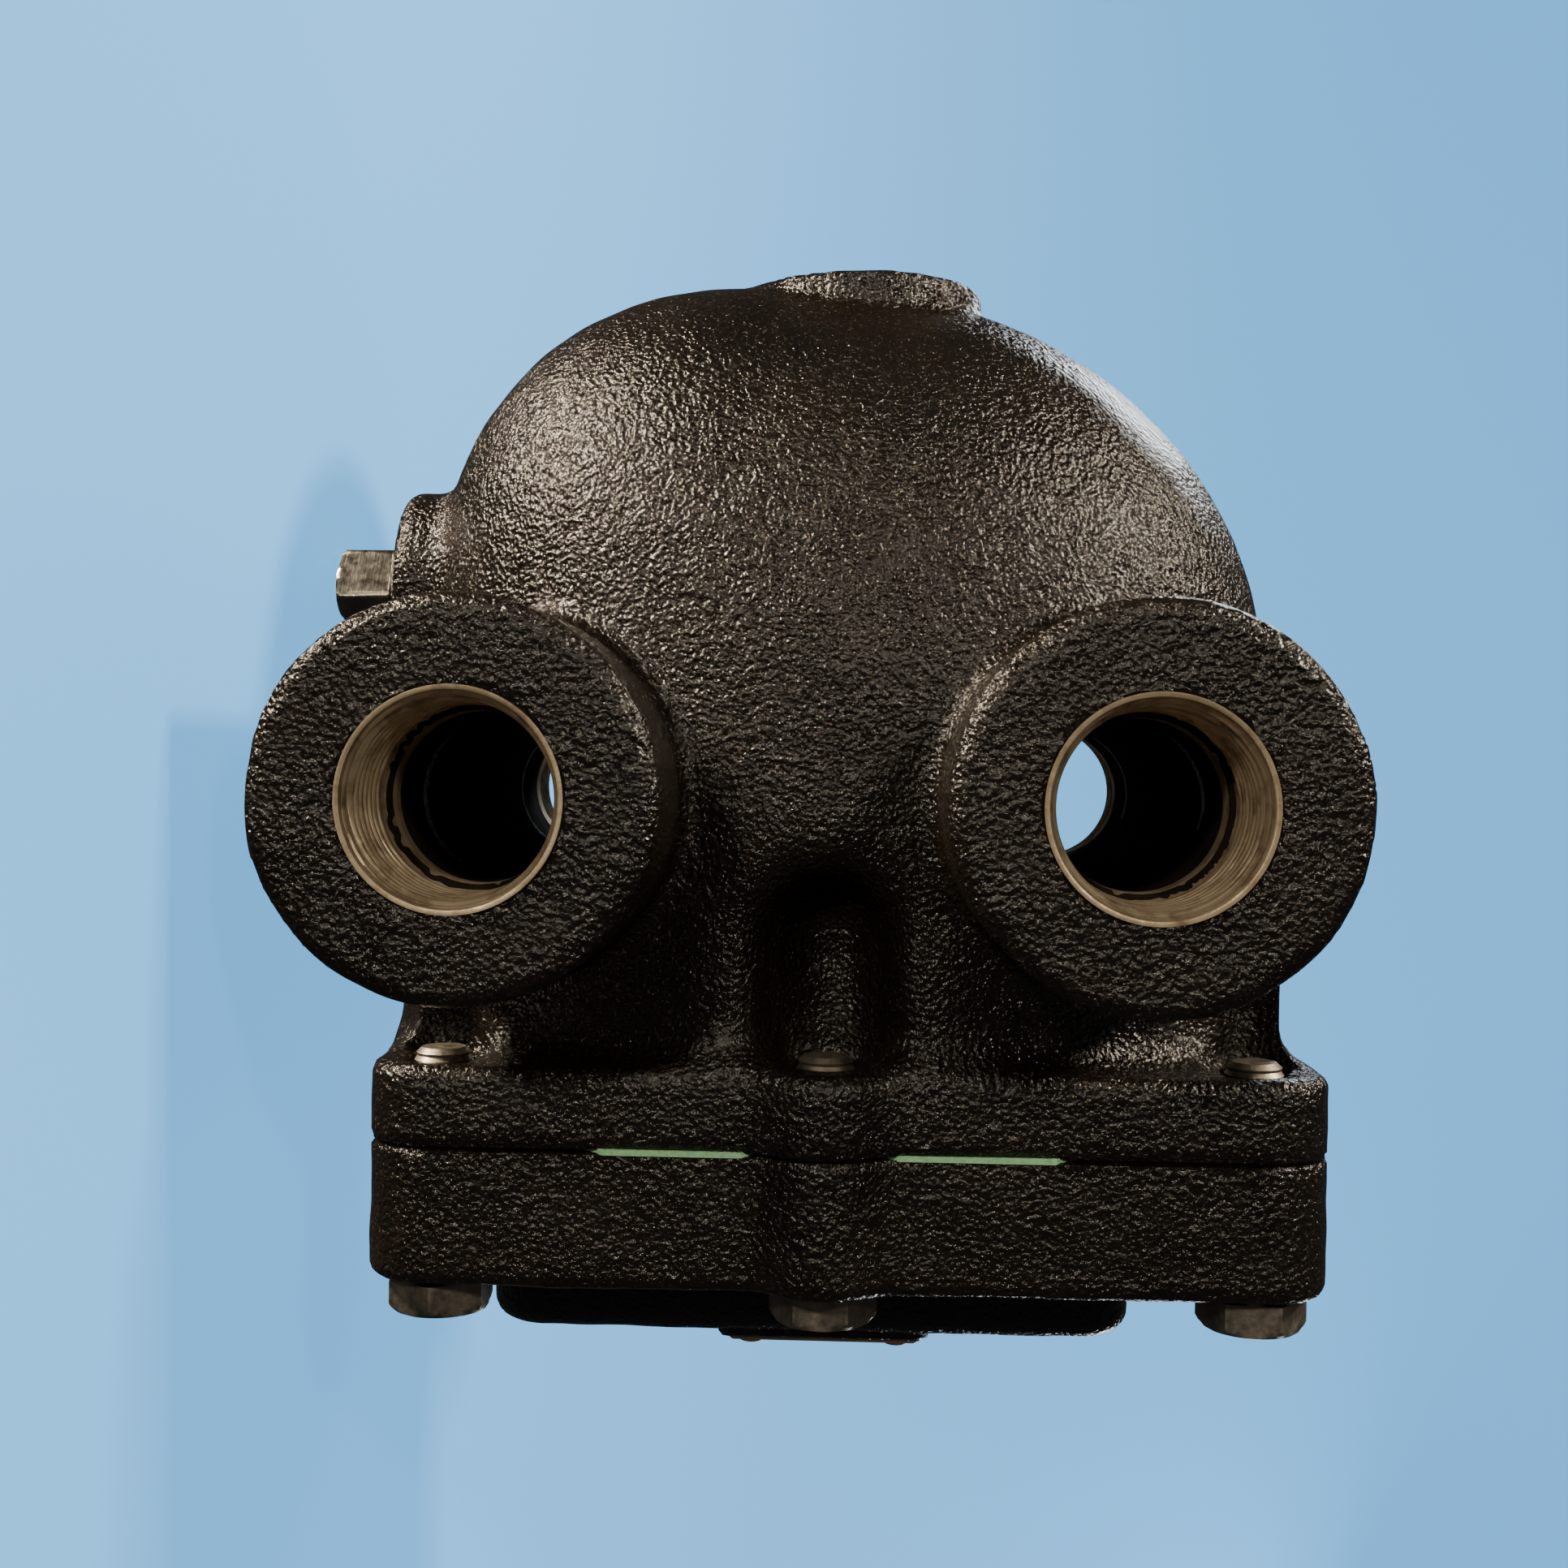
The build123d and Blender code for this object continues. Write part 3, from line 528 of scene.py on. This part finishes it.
def bolt(name, y, z, turn):
    """Hexagon bolt: chamfered head, washer face, shank and threaded tip."""
    top = bolts_high[0] - cover_outer_x
    tip = bolts_low[0] - cover_outer_x
    flats = head_flats / 2 - 0.02

    def shape(radius, height, angle):
        if radius <= flats - 0.6 or height < 0.35:
            return np.full_like(angle, min(radius, flats))
        across = (angle + math.pi / 6) % (math.pi / 3) - math.pi / 6
        return np.minimum(flats / np.cos(across), radius)

    corner = head_corner
    profile = [(bolt_radius - 1.0, tip), (bolt_radius - 0.25, tip + 0.7)]
    for i, h in enumerate(steps(tip + 1.1, tip + 12.0, 0.64)):
        profile.append((bolt_radius - (0.0 if i % 2 else 0.42), h))
    profile += [(bolt_radius, tip + 12.6), (bolt_radius, -0.1), (flats - 0.4, 0.0), (flats - 0.4, 0.34),
                (flats - 0.1, 0.42), (corner - 0.1, 0.75), (corner, 1.1), (corner, top - 1.25),
                (corner - 0.35, top - 0.75), (corner - 0.9, top - 0.25), (flats - 0.65, top - 0.02),
                (flats - 2.2, top)]
    piece = lathe(name, profile, segments=96, sharp=24, shape=shape)
    return place(piece, (cover_outer_x, y, z), (1, 0, 0), turn)


def drain_plug():
    """Square-headed taper plug with its thread showing under the head."""
    collar = drain_face_z - plug_low[2] - 8.5
    head_top = drain_face_z - plug_low[2]
    half = 9.5 / 2

    def head_shape(radius, height, angle):
        if height < collar - 0.01:
            return thread(radius, height, angle)
        across = (angle + math.pi / 4) % (math.pi / 2) - math.pi / 4
        flat = half * (1 - 0.004 * (height - collar)) / np.cos(across)
        return np.minimum(flat, radius)

    thread = thread_shape(1.411, 0.6, -11.0, collar + 1.2, 1)
    profile = [(5.4, -11.5)] + [(6.62 + 0.03 * h * 0.5, h) for h in steps(-11.0, collar - 0.35, 0.12)]
    corner = half * math.sqrt(2) - 0.45
    profile += [(corner, collar), (corner, head_top - 1.0), (corner - 0.5, head_top - 0.45),
                (half - 0.3, head_top - 0.05), (half - 2.2, head_top)]
    piece = lathe("plug_turned", profile, segments=144, sharp=26, shape=head_shape)
    return place(piece, (drain_centre, mid_y, drain_face_z), (0, 0, -1), 28.0)


def nameplate_sheet():
    """Thin plate with rounded corners and a raised border."""
    half_y = (plate_high[1] - plate_low[1]) / 2
    half_z = (plate_high[2] - plate_low[2]) / 2
    mid = (plate_low + plate_high) / 2
    thick = plate_high[0] - plate_low[0]
    rows, columns = 64, 40
    corner = 2.0

    def rim(u, v):
        """Sheet coordinates pulled in at the corners to a round outline."""
        y, z = u * half_y, v * half_z
        over_y, over_z = abs(y) - (half_y - corner), abs(z) - (half_z - corner)
        if over_y > 0 and over_z > 0:
            reach = math.hypot(over_y, over_z)
            pull = min(1, corner / reach) if max(over_y, over_z) > 0 else 1
            y = math.copysign(half_y - corner + over_y * pull, y)
            z = math.copysign(half_z - corner + over_z * pull, z)
        return y, z

    vertices = []
    for side in (0, 1):
        for i in range(rows + 1):
            for j in range(columns + 1):
                y, z = rim(2 * i / rows - 1, 2 * j / columns - 1)
                inset = min(half_y - abs(y), half_z - abs(z))
                border = 0.16 * math.exp(-((inset - 2.6) / 0.45) ** 2)
                edge = -0.12 * math.exp(-(inset / 0.25) ** 2)
                x = plate_low[0] + (thick * 0.78 + border + edge if side else 0.0)
                vertices.append((x, mid[1] + y, mid[2] + z))
    faces = []
    width = columns + 1
    layer = (rows + 1) * width
    for i in range(rows):
        for j in range(columns):
            a = i * width + j
            faces.append((a, a + 1, a + width + 1, a + width))
            b = layer + a
            faces.append((b + width, b + width + 1, b + 1, b))
    ring = [i * width for i in range(rows + 1)] + [rows * width + j for j in range(1, columns + 1)]
    ring += [i * width + columns for i in range(rows - 1, -1, -1)] + [j for j in range(columns - 1, 0, -1)]
    for a, b in zip(ring, ring[1:] + ring[:1]):
        faces.append((a, b, layer + b, layer + a))
    return mesh_object("nameplate_sheet", vertices, faces, 40)


def drive_pin(name, y, z):
    """Round-headed drive pin of the nameplate."""
    head = box_mm("nameplate_pins")[1][0] - plate_high[0]
    profile = [(1.1, -4.0), (1.1, -0.2), (2.1, -0.2), (2.1, 0.12)]
    for lift in (20, 40, 60, 78):
        turn = math.radians(lift)
        profile.append((2.1 * math.cos(turn), 0.12 + (head - 0.12) * math.sin(turn)))
    piece = lathe(name, profile, segments=32, sharp=40)
    return place(piece, (plate_high[0], y, z), (1, 0, 0))


def ring_points(field, count=720):
    """Points in Y and Z where a star-shaped outline meets rays from the middle of the flange."""
    turn = np.arange(count) * 2 * math.pi / count
    near, far = np.zeros(count), np.full(count, 120.0)
    for _ in range(40):
        reach = (near + far) / 2
        outside = field((np.zeros(count), mid_y + reach * np.cos(turn), flange_z + reach * np.sin(turn))) > 0
        near, far = np.where(outside, near, reach), np.where(outside, reach, far)
    return np.stack([mid_y + near * np.cos(turn), flange_z + near * np.sin(turn)], axis=1)


def gasket_outline(point):
    """Squeezed out to the flange edge between the bolts, drawn back at the bolts and corners."""
    y, z = point[1], point[2]
    on_long_side = np.clip((np.abs(y - mid_y) - flange_half[0] + 8) / 3, 0, 1)
    lower = np.clip((13.0 - np.abs(z + 59.5)) / 4, 0, 1)
    upper = np.clip((14.0 - np.abs(z + 19.5)) / 4, 0, 1)
    flush = np.maximum(lower, upper) * on_long_side
    return flange_outline(point) + 3.0 - 3.25 * flush


def gasket_opening(point):
    """Float opening, kept clear of the return hole and the centre bolts."""
    opening = ellipsoid((np.zeros_like(point[1]), point[1], point[2]), (0, mid_y, dome_centre[2]),
                        (1e3, dome_radii[1] - wall - gasket_lip, dome_radii[2] - wall - gasket_lip))
    opening = np.maximum(opening, 11 - np.hypot(point[1] - mid_y, point[2] - outlet_z))
    for y in centre_bolt_y:
        opening = np.maximum(opening, 14.5 - np.hypot(point[1] - y, point[2] - centre_bolt_z))
    return opening


def circle_points(y, z, radius, count=48):
    turn = np.arange(count) * 2 * math.pi / count
    return np.stack([y + radius * np.cos(turn), z + radius * np.sin(turn)], axis=1)


def gasket_sheet():
    """Fibre sheet cut from its outlines."""
    outlines = [ring_points(gasket_outline), ring_points(gasket_opening),
                circle_points(mid_y, outlet_z, return_radius)]
    outlines += [circle_points(y, z, bolt_radius + 0.3) for y, z in bolt_places]
    curve = bpy.data.curves.new("gasket_outline", "CURVE")
    curve.dimensions, curve.fill_mode = "2D", "BOTH"
    curve.extrude = (gasket_high[0] - gasket_low[0] - 0.04) / 2 * MM
    for outline in outlines:
        spline = curve.splines.new("POLY")
        spline.points.add(len(outline) - 1)
        spline.use_cyclic_u = True
        for point, (y, z) in zip(spline.points, outline):
            point.co = (y * MM, z * MM, 0, 1)
    holder = bpy.data.objects.new("gasket_outline", curve)
    bpy.context.scene.collection.objects.link(holder)
    mesh = bpy.data.meshes.new_from_object(holder.evaluated_get(bpy.context.evaluated_depsgraph_get()))
    bpy.data.objects.remove(holder)
    middle = (gasket_low[0] + gasket_high[0]) / 2 * MM
    upright = Matrix(((0, 0, 1, middle), (1, 0, 0, 0), (0, 1, 0, 0), (0, 0, 0, 1)))
    mesh.transform(upright)
    made = bpy.data.objects.new("gasket_sheet", mesh)
    bpy.context.scene.collection.objects.link(made)
    return made


# Materials

class Graph:
    """Small helper that builds a node material."""

    def __init__(self, name, **values):
        self.material = bpy.data.materials.new(name)
        self.material.use_nodes = True
        self.tree = self.material.node_tree
        self.shader = self.tree.nodes["Principled BSDF"]
        for socket, value in values.items():
            self.shader.inputs[socket.replace("_", " ")].default_value = value
        self.coordinates = self.tree.nodes.new("ShaderNodeTexCoord").outputs["Object"]

    def node(self, kind, inputs=None, **settings):
        made = self.tree.nodes.new("ShaderNode" + kind)
        for key, value in settings.items():
            setattr(made, key, value)
        for key, value in (inputs or {}).items():
            if isinstance(value, bpy.types.NodeSocket):
                self.tree.links.new(value, made.inputs[key])
            else:
                made.inputs[key].default_value = value
        return made

    def link(self, output, socket):
        self.tree.links.new(output, self.shader.inputs[socket])

    def noise(self, scale, detail=3.0, rough=0.55, vector=None, distortion=0.0):
        return self.node("TexNoise", {"Vector": vector or self.coordinates, "Scale": scale, "Detail": detail,
                                      "Roughness": rough, "Distortion": distortion}).outputs["Fac"]

    def cells(self, scale, feature="SMOOTH_F1", vector=None):
        return self.node("TexVoronoi", {"Vector": vector or self.coordinates, "Scale": scale},
                         feature=feature).outputs["Distance"]

    def stretch(self, scale):
        return self.node("Mapping", {"Vector": self.coordinates, "Scale": scale}).outputs["Vector"]

    def remap(self, value, low, high, to_low=0.0, to_high=1.0):
        return self.node("MapRange", {"Value": value, "From Min": low, "From Max": high,
                                      "To Min": to_low, "To Max": to_high}).outputs["Result"]

    def math(self, operation, a, b):
        return self.node("Math", {0: a, 1: b}, operation=operation).outputs[0]

    def mix(self, factor, a, b):
        made = self.node("Mix", data_type="RGBA")
        for index, value in ((0, factor), (6, a), (7, b)):
            if isinstance(value, bpy.types.NodeSocket):
                self.tree.links.new(value, made.inputs[index])
            else:
                made.inputs[index].default_value = value if index == 0 else tuple(value) + (1.0,)
        return made.outputs[2]

    def edges(self):
        """1 on worn outer edges, 0 in hollows, from the mesh's own curvature."""
        pointiness = self.node("NewGeometry").outputs["Pointiness"]
        return self.remap(pointiness, 0.52, 0.60)

    def bump(self, height, distance, strength=1.0, normal=None):
        inputs = {"Height": height, "Distance": distance, "Strength": strength}
        if normal:
            inputs["Normal"] = normal
        return self.node("Bump", inputs).outputs["Normal"]


def enamel():
    """Brown-black enamel over rough sand-cast iron: fine grains that each catch the light, plus painted
    glints as pale specks in the colour.
    """
    g = Graph("cast_enamel", Metallic=0.0, Specular_IOR_Level=0.6)
    cloud = g.noise(38, 4)
    grime = g.noise(160, 5, 0.65)
    base = g.mix(g.remap(cloud, 0.35, 0.7), (0.0050, 0.0038, 0.0029), (0.0115, 0.0082, 0.0058))
    base = g.mix(g.remap(grime, 0.60, 0.78, 0, 0.5), base, (0.036, 0.024, 0.015))
    wear = g.math("MULTIPLY", g.edges(), g.remap(g.noise(420, 3), 0.45, 0.62))
    base = g.mix(g.remap(wear, 0, 1, 0, 0.5), base, (0.07, 0.047, 0.030))
    # Painted highlight: small pale specks in the base colour stand in for glints of light on the grain
    # crests.
    painted_glint_specks = g.remap(g.noise(1900, 2, 0.5), 0.64, 0.72, 0, 0.7)
    base = g.mix(painted_glint_specks, base, (0.11, 0.080, 0.050))
    g.link(base, "Base Color")
    g.link(g.remap(g.noise(900, 3), 0.3, 0.75, 0.15, 0.30), "Roughness")
    grain = g.cells(1500)
    fine = g.noise(2400, 2, 0.6)
    lumps = g.noise(700, 2, 0.5)
    height = g.math("ADD", g.math("MULTIPLY", grain, 1.1), g.math("MULTIPLY", fine, 0.7))
    height = g.math("ADD", height, g.math("MULTIPLY", lumps, 1.1))
    g.link(g.bump(height, 0.00030), "Normal")
    return g.material


def cored_iron():
    """Unpainted inside of a casting: dark, dull foundry skin."""
    g = Graph("cored_iron", Metallic=0.0, Specular_IOR_Level=0.15)
    cloud = g.noise(120, 5, 0.6)
    g.link(g.mix(g.remap(cloud, 0.3, 0.7), (0.006, 0.0052, 0.0046), (0.020, 0.0145, 0.010)), "Base Color")
    g.link(g.remap(g.noise(500, 3), 0.3, 0.7, 0.75, 0.95), "Roughness")
    g.link(g.bump(g.noise(900, 4, 0.6), 0.0003), "Normal")
    return g.material


def turned_iron():
    """Bare machined iron of the ports: dull tan with turning marks and some rust bloom."""
    g = Graph("machined_iron", Metallic=0.6, Anisotropic=0.35)
    rings = g.noise(60, 2, 0.5, g.stretch((1, 60, 1)))
    bloom = g.noise(240, 5, 0.62)
    base = g.mix(g.remap(rings, 0.3, 0.7), (0.42, 0.345, 0.245), (0.62, 0.52, 0.375))
    base = g.mix(g.remap(bloom, 0.46, 0.68, 0, 0.8), base, (0.13, 0.078, 0.040))
    g.link(base, "Base Color")
    g.link(g.remap(bloom, 0.3, 0.7, 0.32, 0.58), "Roughness")
    g.link(g.bump(g.math("ADD", rings, g.math("MULTIPLY", g.noise(1800, 2), 0.4)), 0.00008), "Normal")
    return g.material


def steel(name, dark, light, rough_low, rough_high, speckle=0.0, grain_axis=(1, 1, 1),
          stain=(0.16, 0.10, 0.06)):
    """Bare or oiled steel with brushed grain, stains and fine scratches."""
    g = Graph(name, Metallic=1.0)
    cloud = g.noise(180, 4)
    base = g.mix(g.remap(cloud, 0.35, 0.68), dark, light)
    base = g.mix(g.remap(g.noise(520, 4, 0.65), 0.58, 0.74, 0, speckle), base, stain)
    g.link(base, "Base Color")
    g.link(g.remap(g.noise(700, 3), 0.3, 0.7, rough_low, rough_high), "Roughness")
    scratches = g.noise(220, 2, 0.5, g.stretch(grain_axis))
    height = g.math("ADD", g.math("MULTIPLY", scratches, 0.7), g.math("MULTIPLY", g.noise(1500, 2), 0.6))
    g.link(g.bump(height, 0.00005), "Normal")
    return g.material


def fibre():
    """Mint green compressed fibre gasket sheet."""
    g = Graph("gasket_fibre", Metallic=0.0, Specular_IOR_Level=0.3)
    speck = g.noise(1300, 4, 0.7)
    g.link(g.mix(g.remap(speck, 0.35, 0.7), (0.27, 0.60, 0.33), (0.45, 0.83, 0.50)), "Base Color")
    g.link(g.remap(g.noise(600), 0.3, 0.7, 0.62, 0.85), "Roughness")
    g.link(g.bump(g.noise(1600, 3, 0.6, g.stretch((1, 1, 1))), 0.00008), "Normal")
    return g.material


def brass():
    """Satin brass sheet with fine brushing and a little tarnish."""
    g = Graph("plate_brass", Metallic=0.45)
    tarnish = g.noise(140, 5, 0.6)
    base = g.mix(g.remap(tarnish, 0.35, 0.7), (0.80, 0.56, 0.30), (0.62, 0.40, 0.20))
    g.link(base, "Base Color")
    g.link(g.remap(tarnish, 0.3, 0.7, 0.26, 0.44), "Roughness")
    g.link(g.bump(g.noise(120, 2, 0.5, g.stretch((1, 1, 26))), 0.00003), "Normal")
    return g.material


def stage_paper():
    """Plain pale backdrop."""
    g = Graph("backdrop", Metallic=0.0, Roughness=0.85, Specular_IOR_Level=0.2)
    g.shader.inputs["Base Color"].default_value = (0.12, 0.38, 0.80, 1)
    g.shader.inputs["Emission Color"].default_value = (0.13, 0.50, 1.0, 1)
    g.shader.inputs["Emission Strength"].default_value = 1.15
    return g.material


# The object

def repaint(name, material):
    """Gives a CAD node or a piece one material on every slot."""
    target = frame["nodes"][name] if name in frame["nodes"] else bpy.data.objects[name]
    if not target.material_slots:
        target.data.materials.append(material)
    for holder in target.material_slots:
        holder.material = material


def finish_piece(piece, material, body="root", stands_for=()):
    piece.data.materials.clear()
    piece.data.materials.append(material)
    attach(piece, body)
    if stands_for:
        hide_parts(*stands_for)


def mark_cored(piece, outside, bare, depth=1.2):
    """Gives the cored and machined inside faces of a casting their own bare-iron material."""
    mesh = piece.data
    centres = np.empty(len(mesh.polygons) * 3)
    mesh.polygons.foreach_get("center", centres)
    inside = outside(centres.reshape(-1, 3).T / MM) < -depth
    mesh.materials.append(bare)
    mesh.polygons.foreach_set("material_index", inside.astype(np.int32))
    mesh.update()


def build_castings():
    paint, bare = enamel(), cored_iron()
    body = cast_object("body_skin", body_field, body_low, body_high, 1.3, body_unevenness)
    finish_piece(body, paint, stands_for=["body_casting"])
    mark_cored(body, body_outside, bare)
    cover = cast_object("cover_skin", cover_field, cover_low, cover_high, 1.0, cover_unevenness)
    finish_piece(cover, paint, stands_for=["cover_casting"])
    gasket = gasket_sheet()
    finish_piece(gasket, fibre(), stands_for=["cover_gasket"])


def build_ports():
    iron = turned_iron()
    for name, z in (("inlet", inlet_z), ("outlet", outlet_z)):
        for end, face_y, inward in (("front", front_y, 1), ("rear", rear_y, -1)):
            piece = port_thread(f"{name}_{end}_thread", z, face_y, inward)
            finish_piece(piece, iron)


def build_fasteners():
    dark_steel = steel("bolt_steel", (0.22, 0.20, 0.17), (0.40, 0.355, 0.30), 0.38, 0.60, 0.5)
    bolts = [bolt(f"bolt_{i}", y, z, turn) for i, ((y, z), turn) in
             enumerate(zip(bolt_places, (31, 8, 24, 47, 2, 15)))]
    finish_piece(join("cover_bolt_set", bolts), dark_steel, stands_for=["cover_bolts"])
    plug_steel = steel("plug_steel", (0.13, 0.125, 0.115), (0.24, 0.225, 0.20), 0.24, 0.42, 0.5,
                       (1, 1, 12), (0.30, 0.21, 0.11))
    finish_piece(drain_plug(), plug_steel, stands_for=["drain_plug"])


def build_nameplate():
    metal = brass()
    finish_piece(nameplate_sheet(), metal, stands_for=["nameplate"])
    pins_low, pins_high = box_mm("nameplate_pins")
    inset = 2.1
    pins = []
    for y in (pins_low[1] + inset, pins_high[1] - inset):
        for z in (pins_low[2] + inset, pins_high[2] - inset):
            pins.append(drive_pin(f"pin_{len(pins)}", y, z))
    finish_piece(join("drive_pin_set", pins), metal, stands_for=["nameplate_pins"])


def finish_cad_nodes():
    """Detailed materials for the valve gear, which keeps its CAD shape."""
    bright = steel("stainless", (0.50, 0.49, 0.47), (0.66, 0.65, 0.63), 0.22, 0.38, 0.15, (1, 14, 1),
                   (0.40, 0.34, 0.26))
    dark = steel("screw_steel", (0.16, 0.15, 0.14), (0.28, 0.26, 0.24), 0.32, 0.5, 0.3)
    copper = steel("copper_ring", (0.70, 0.36, 0.22), (0.80, 0.45, 0.29), 0.28, 0.45, 0.4, (1, 1, 1),
                   (0.34, 0.20, 0.13))
    by_slot = {"stainless": bright, "bolt_steel": dark, "copper_ring": copper}
    for part in frame["record"]["subparts"]:
        if part["material_slot"] in by_slot and part["node"] != "cover_bolts":
            repaint(part["node"], by_slot[part["material_slot"]])


# Stage, light and camera

def build_stage():
    """Floor under the object that sweeps up far behind it."""
    floor_z = cad_box[0][2]
    centre_y = mid_y * MM
    size, start, radius = 6.0, 0.22, 1.5
    profile = [(-size, 0.0)]
    for a in np.linspace(0, math.pi / 2, 48):
        profile.append((start + radius * math.sin(a), radius * (1 - math.cos(a))))
    profile += [(start + radius, size)]
    vertices, faces = [], []
    for x in (-size, size):
        vertices += [(x, centre_y + y, floor_z + z) for y, z in profile]
    count = len(profile)
    for i in range(count - 1):
        faces.append((i, i + 1, count + i + 1, count + i))
    mesh = bpy.data.meshes.new("sweep")
    mesh.from_pydata(vertices, [], faces)
    mesh.shade_smooth()
    sweep = bpy.data.objects.new("sweep", mesh)
    bpy.context.scene.collection.objects.link(sweep)
    mesh.materials.append(stage_paper())
    sweep.visible_shadow = False
    sweep.visible_glossy = False
    sweep.visible_diffuse = False
    world = bpy.data.worlds.new("studio")
    world.use_nodes = True
    world.node_tree.nodes["Background"].inputs["Color"].default_value = (0.90, 0.88, 0.86, 1)
    world.node_tree.nodes["Background"].inputs["Strength"].default_value = 0.05
    bpy.context.scene.world = world


def area_light(name, offset, size, power, colour):
    """Soft lamp aimed at the middle of the object."""
    lamp = bpy.data.lights.new(name, "AREA")
    lamp.shape, lamp.size, lamp.energy, lamp.color = "DISK", size, power, colour
    made = bpy.data.objects.new(name, lamp)
    aim = Vector([(a + b) / 2 for a, b in zip(*cad_box)])
    made.location = aim + Vector(offset)
    made.rotation_euler = (aim - made.location).to_track_quat("-Z", "Y").to_euler()
    bpy.context.scene.collection.objects.link(made)


def build_lights():
    area_light("dome_left", (-0.50, -0.06, -0.56), 0.12, 13, (1.0, 0.84, 0.62))
    area_light("dome_right", (-0.44, -0.04, 0.68), 0.13, 7, (1.0, 0.86, 0.66))
    area_light("port_light", (-0.55, -1.00, -0.40), 0.12, 5.0, (1.0, 0.86, 0.66))
    area_light("port_light_right", (-0.50, -0.95, 0.55), 0.12, 3.8, (1.0, 0.86, 0.66))
    area_light("backdrop_top", (-1.1, 2.0, 0.9), 0.6, 12, (0.86, 0.93, 1.0))
    area_light("rear_fill", (1.0, 1.1, 0.5), 0.4, 4, (0.95, 0.97, 1.0))


camera_sensor = 36.0
camera_lens = 41.9
camera_turn = (-2.43, 0.67, -0.71)      # yaw, pitch and roll in degrees
camera_offset = (-4.9, -214.1, 6.9)     # the last one from the middle of the two ports


def build_camera():
    """Close view straight into the front ports, with the dome uppermost in the picture."""
    camera = bpy.data.cameras.new("camera")
    camera.sensor_width, camera.lens = camera_sensor, camera_lens
    camera.clip_start = 0.01
    made = bpy.data.objects.new("camera", camera)
    yaw, pitch, roll = (math.radians(a) for a in camera_turn)
    turn = Matrix.Rotation(roll, 3, "Z") @ Matrix.Rotation(pitch, 3, "X") @ Matrix.Rotation(yaw, 3, "Y")
    # Rows of turn are the camera's right, up and back in (picture right, picture up, toward viewer).
    to_frame = Matrix(((0, -1, 0), (0, 0, -1), (1, 0, 0)))
    basis = to_frame @ turn.transposed()
    x, y, above_middle = camera_offset
    position = Vector((x, y, (inlet_z + outlet_z) / 2 + above_middle)) * MM
    made.matrix_world = Matrix.Translation(position) @ basis.to_4x4()
    bpy.context.scene.collection.objects.link(made)
    bpy.context.scene.camera = made


build_stage()
build_lights()
build_camera()
build_castings()
build_ports()
build_fasteners()
build_nameplate()
finish_cad_nodes()
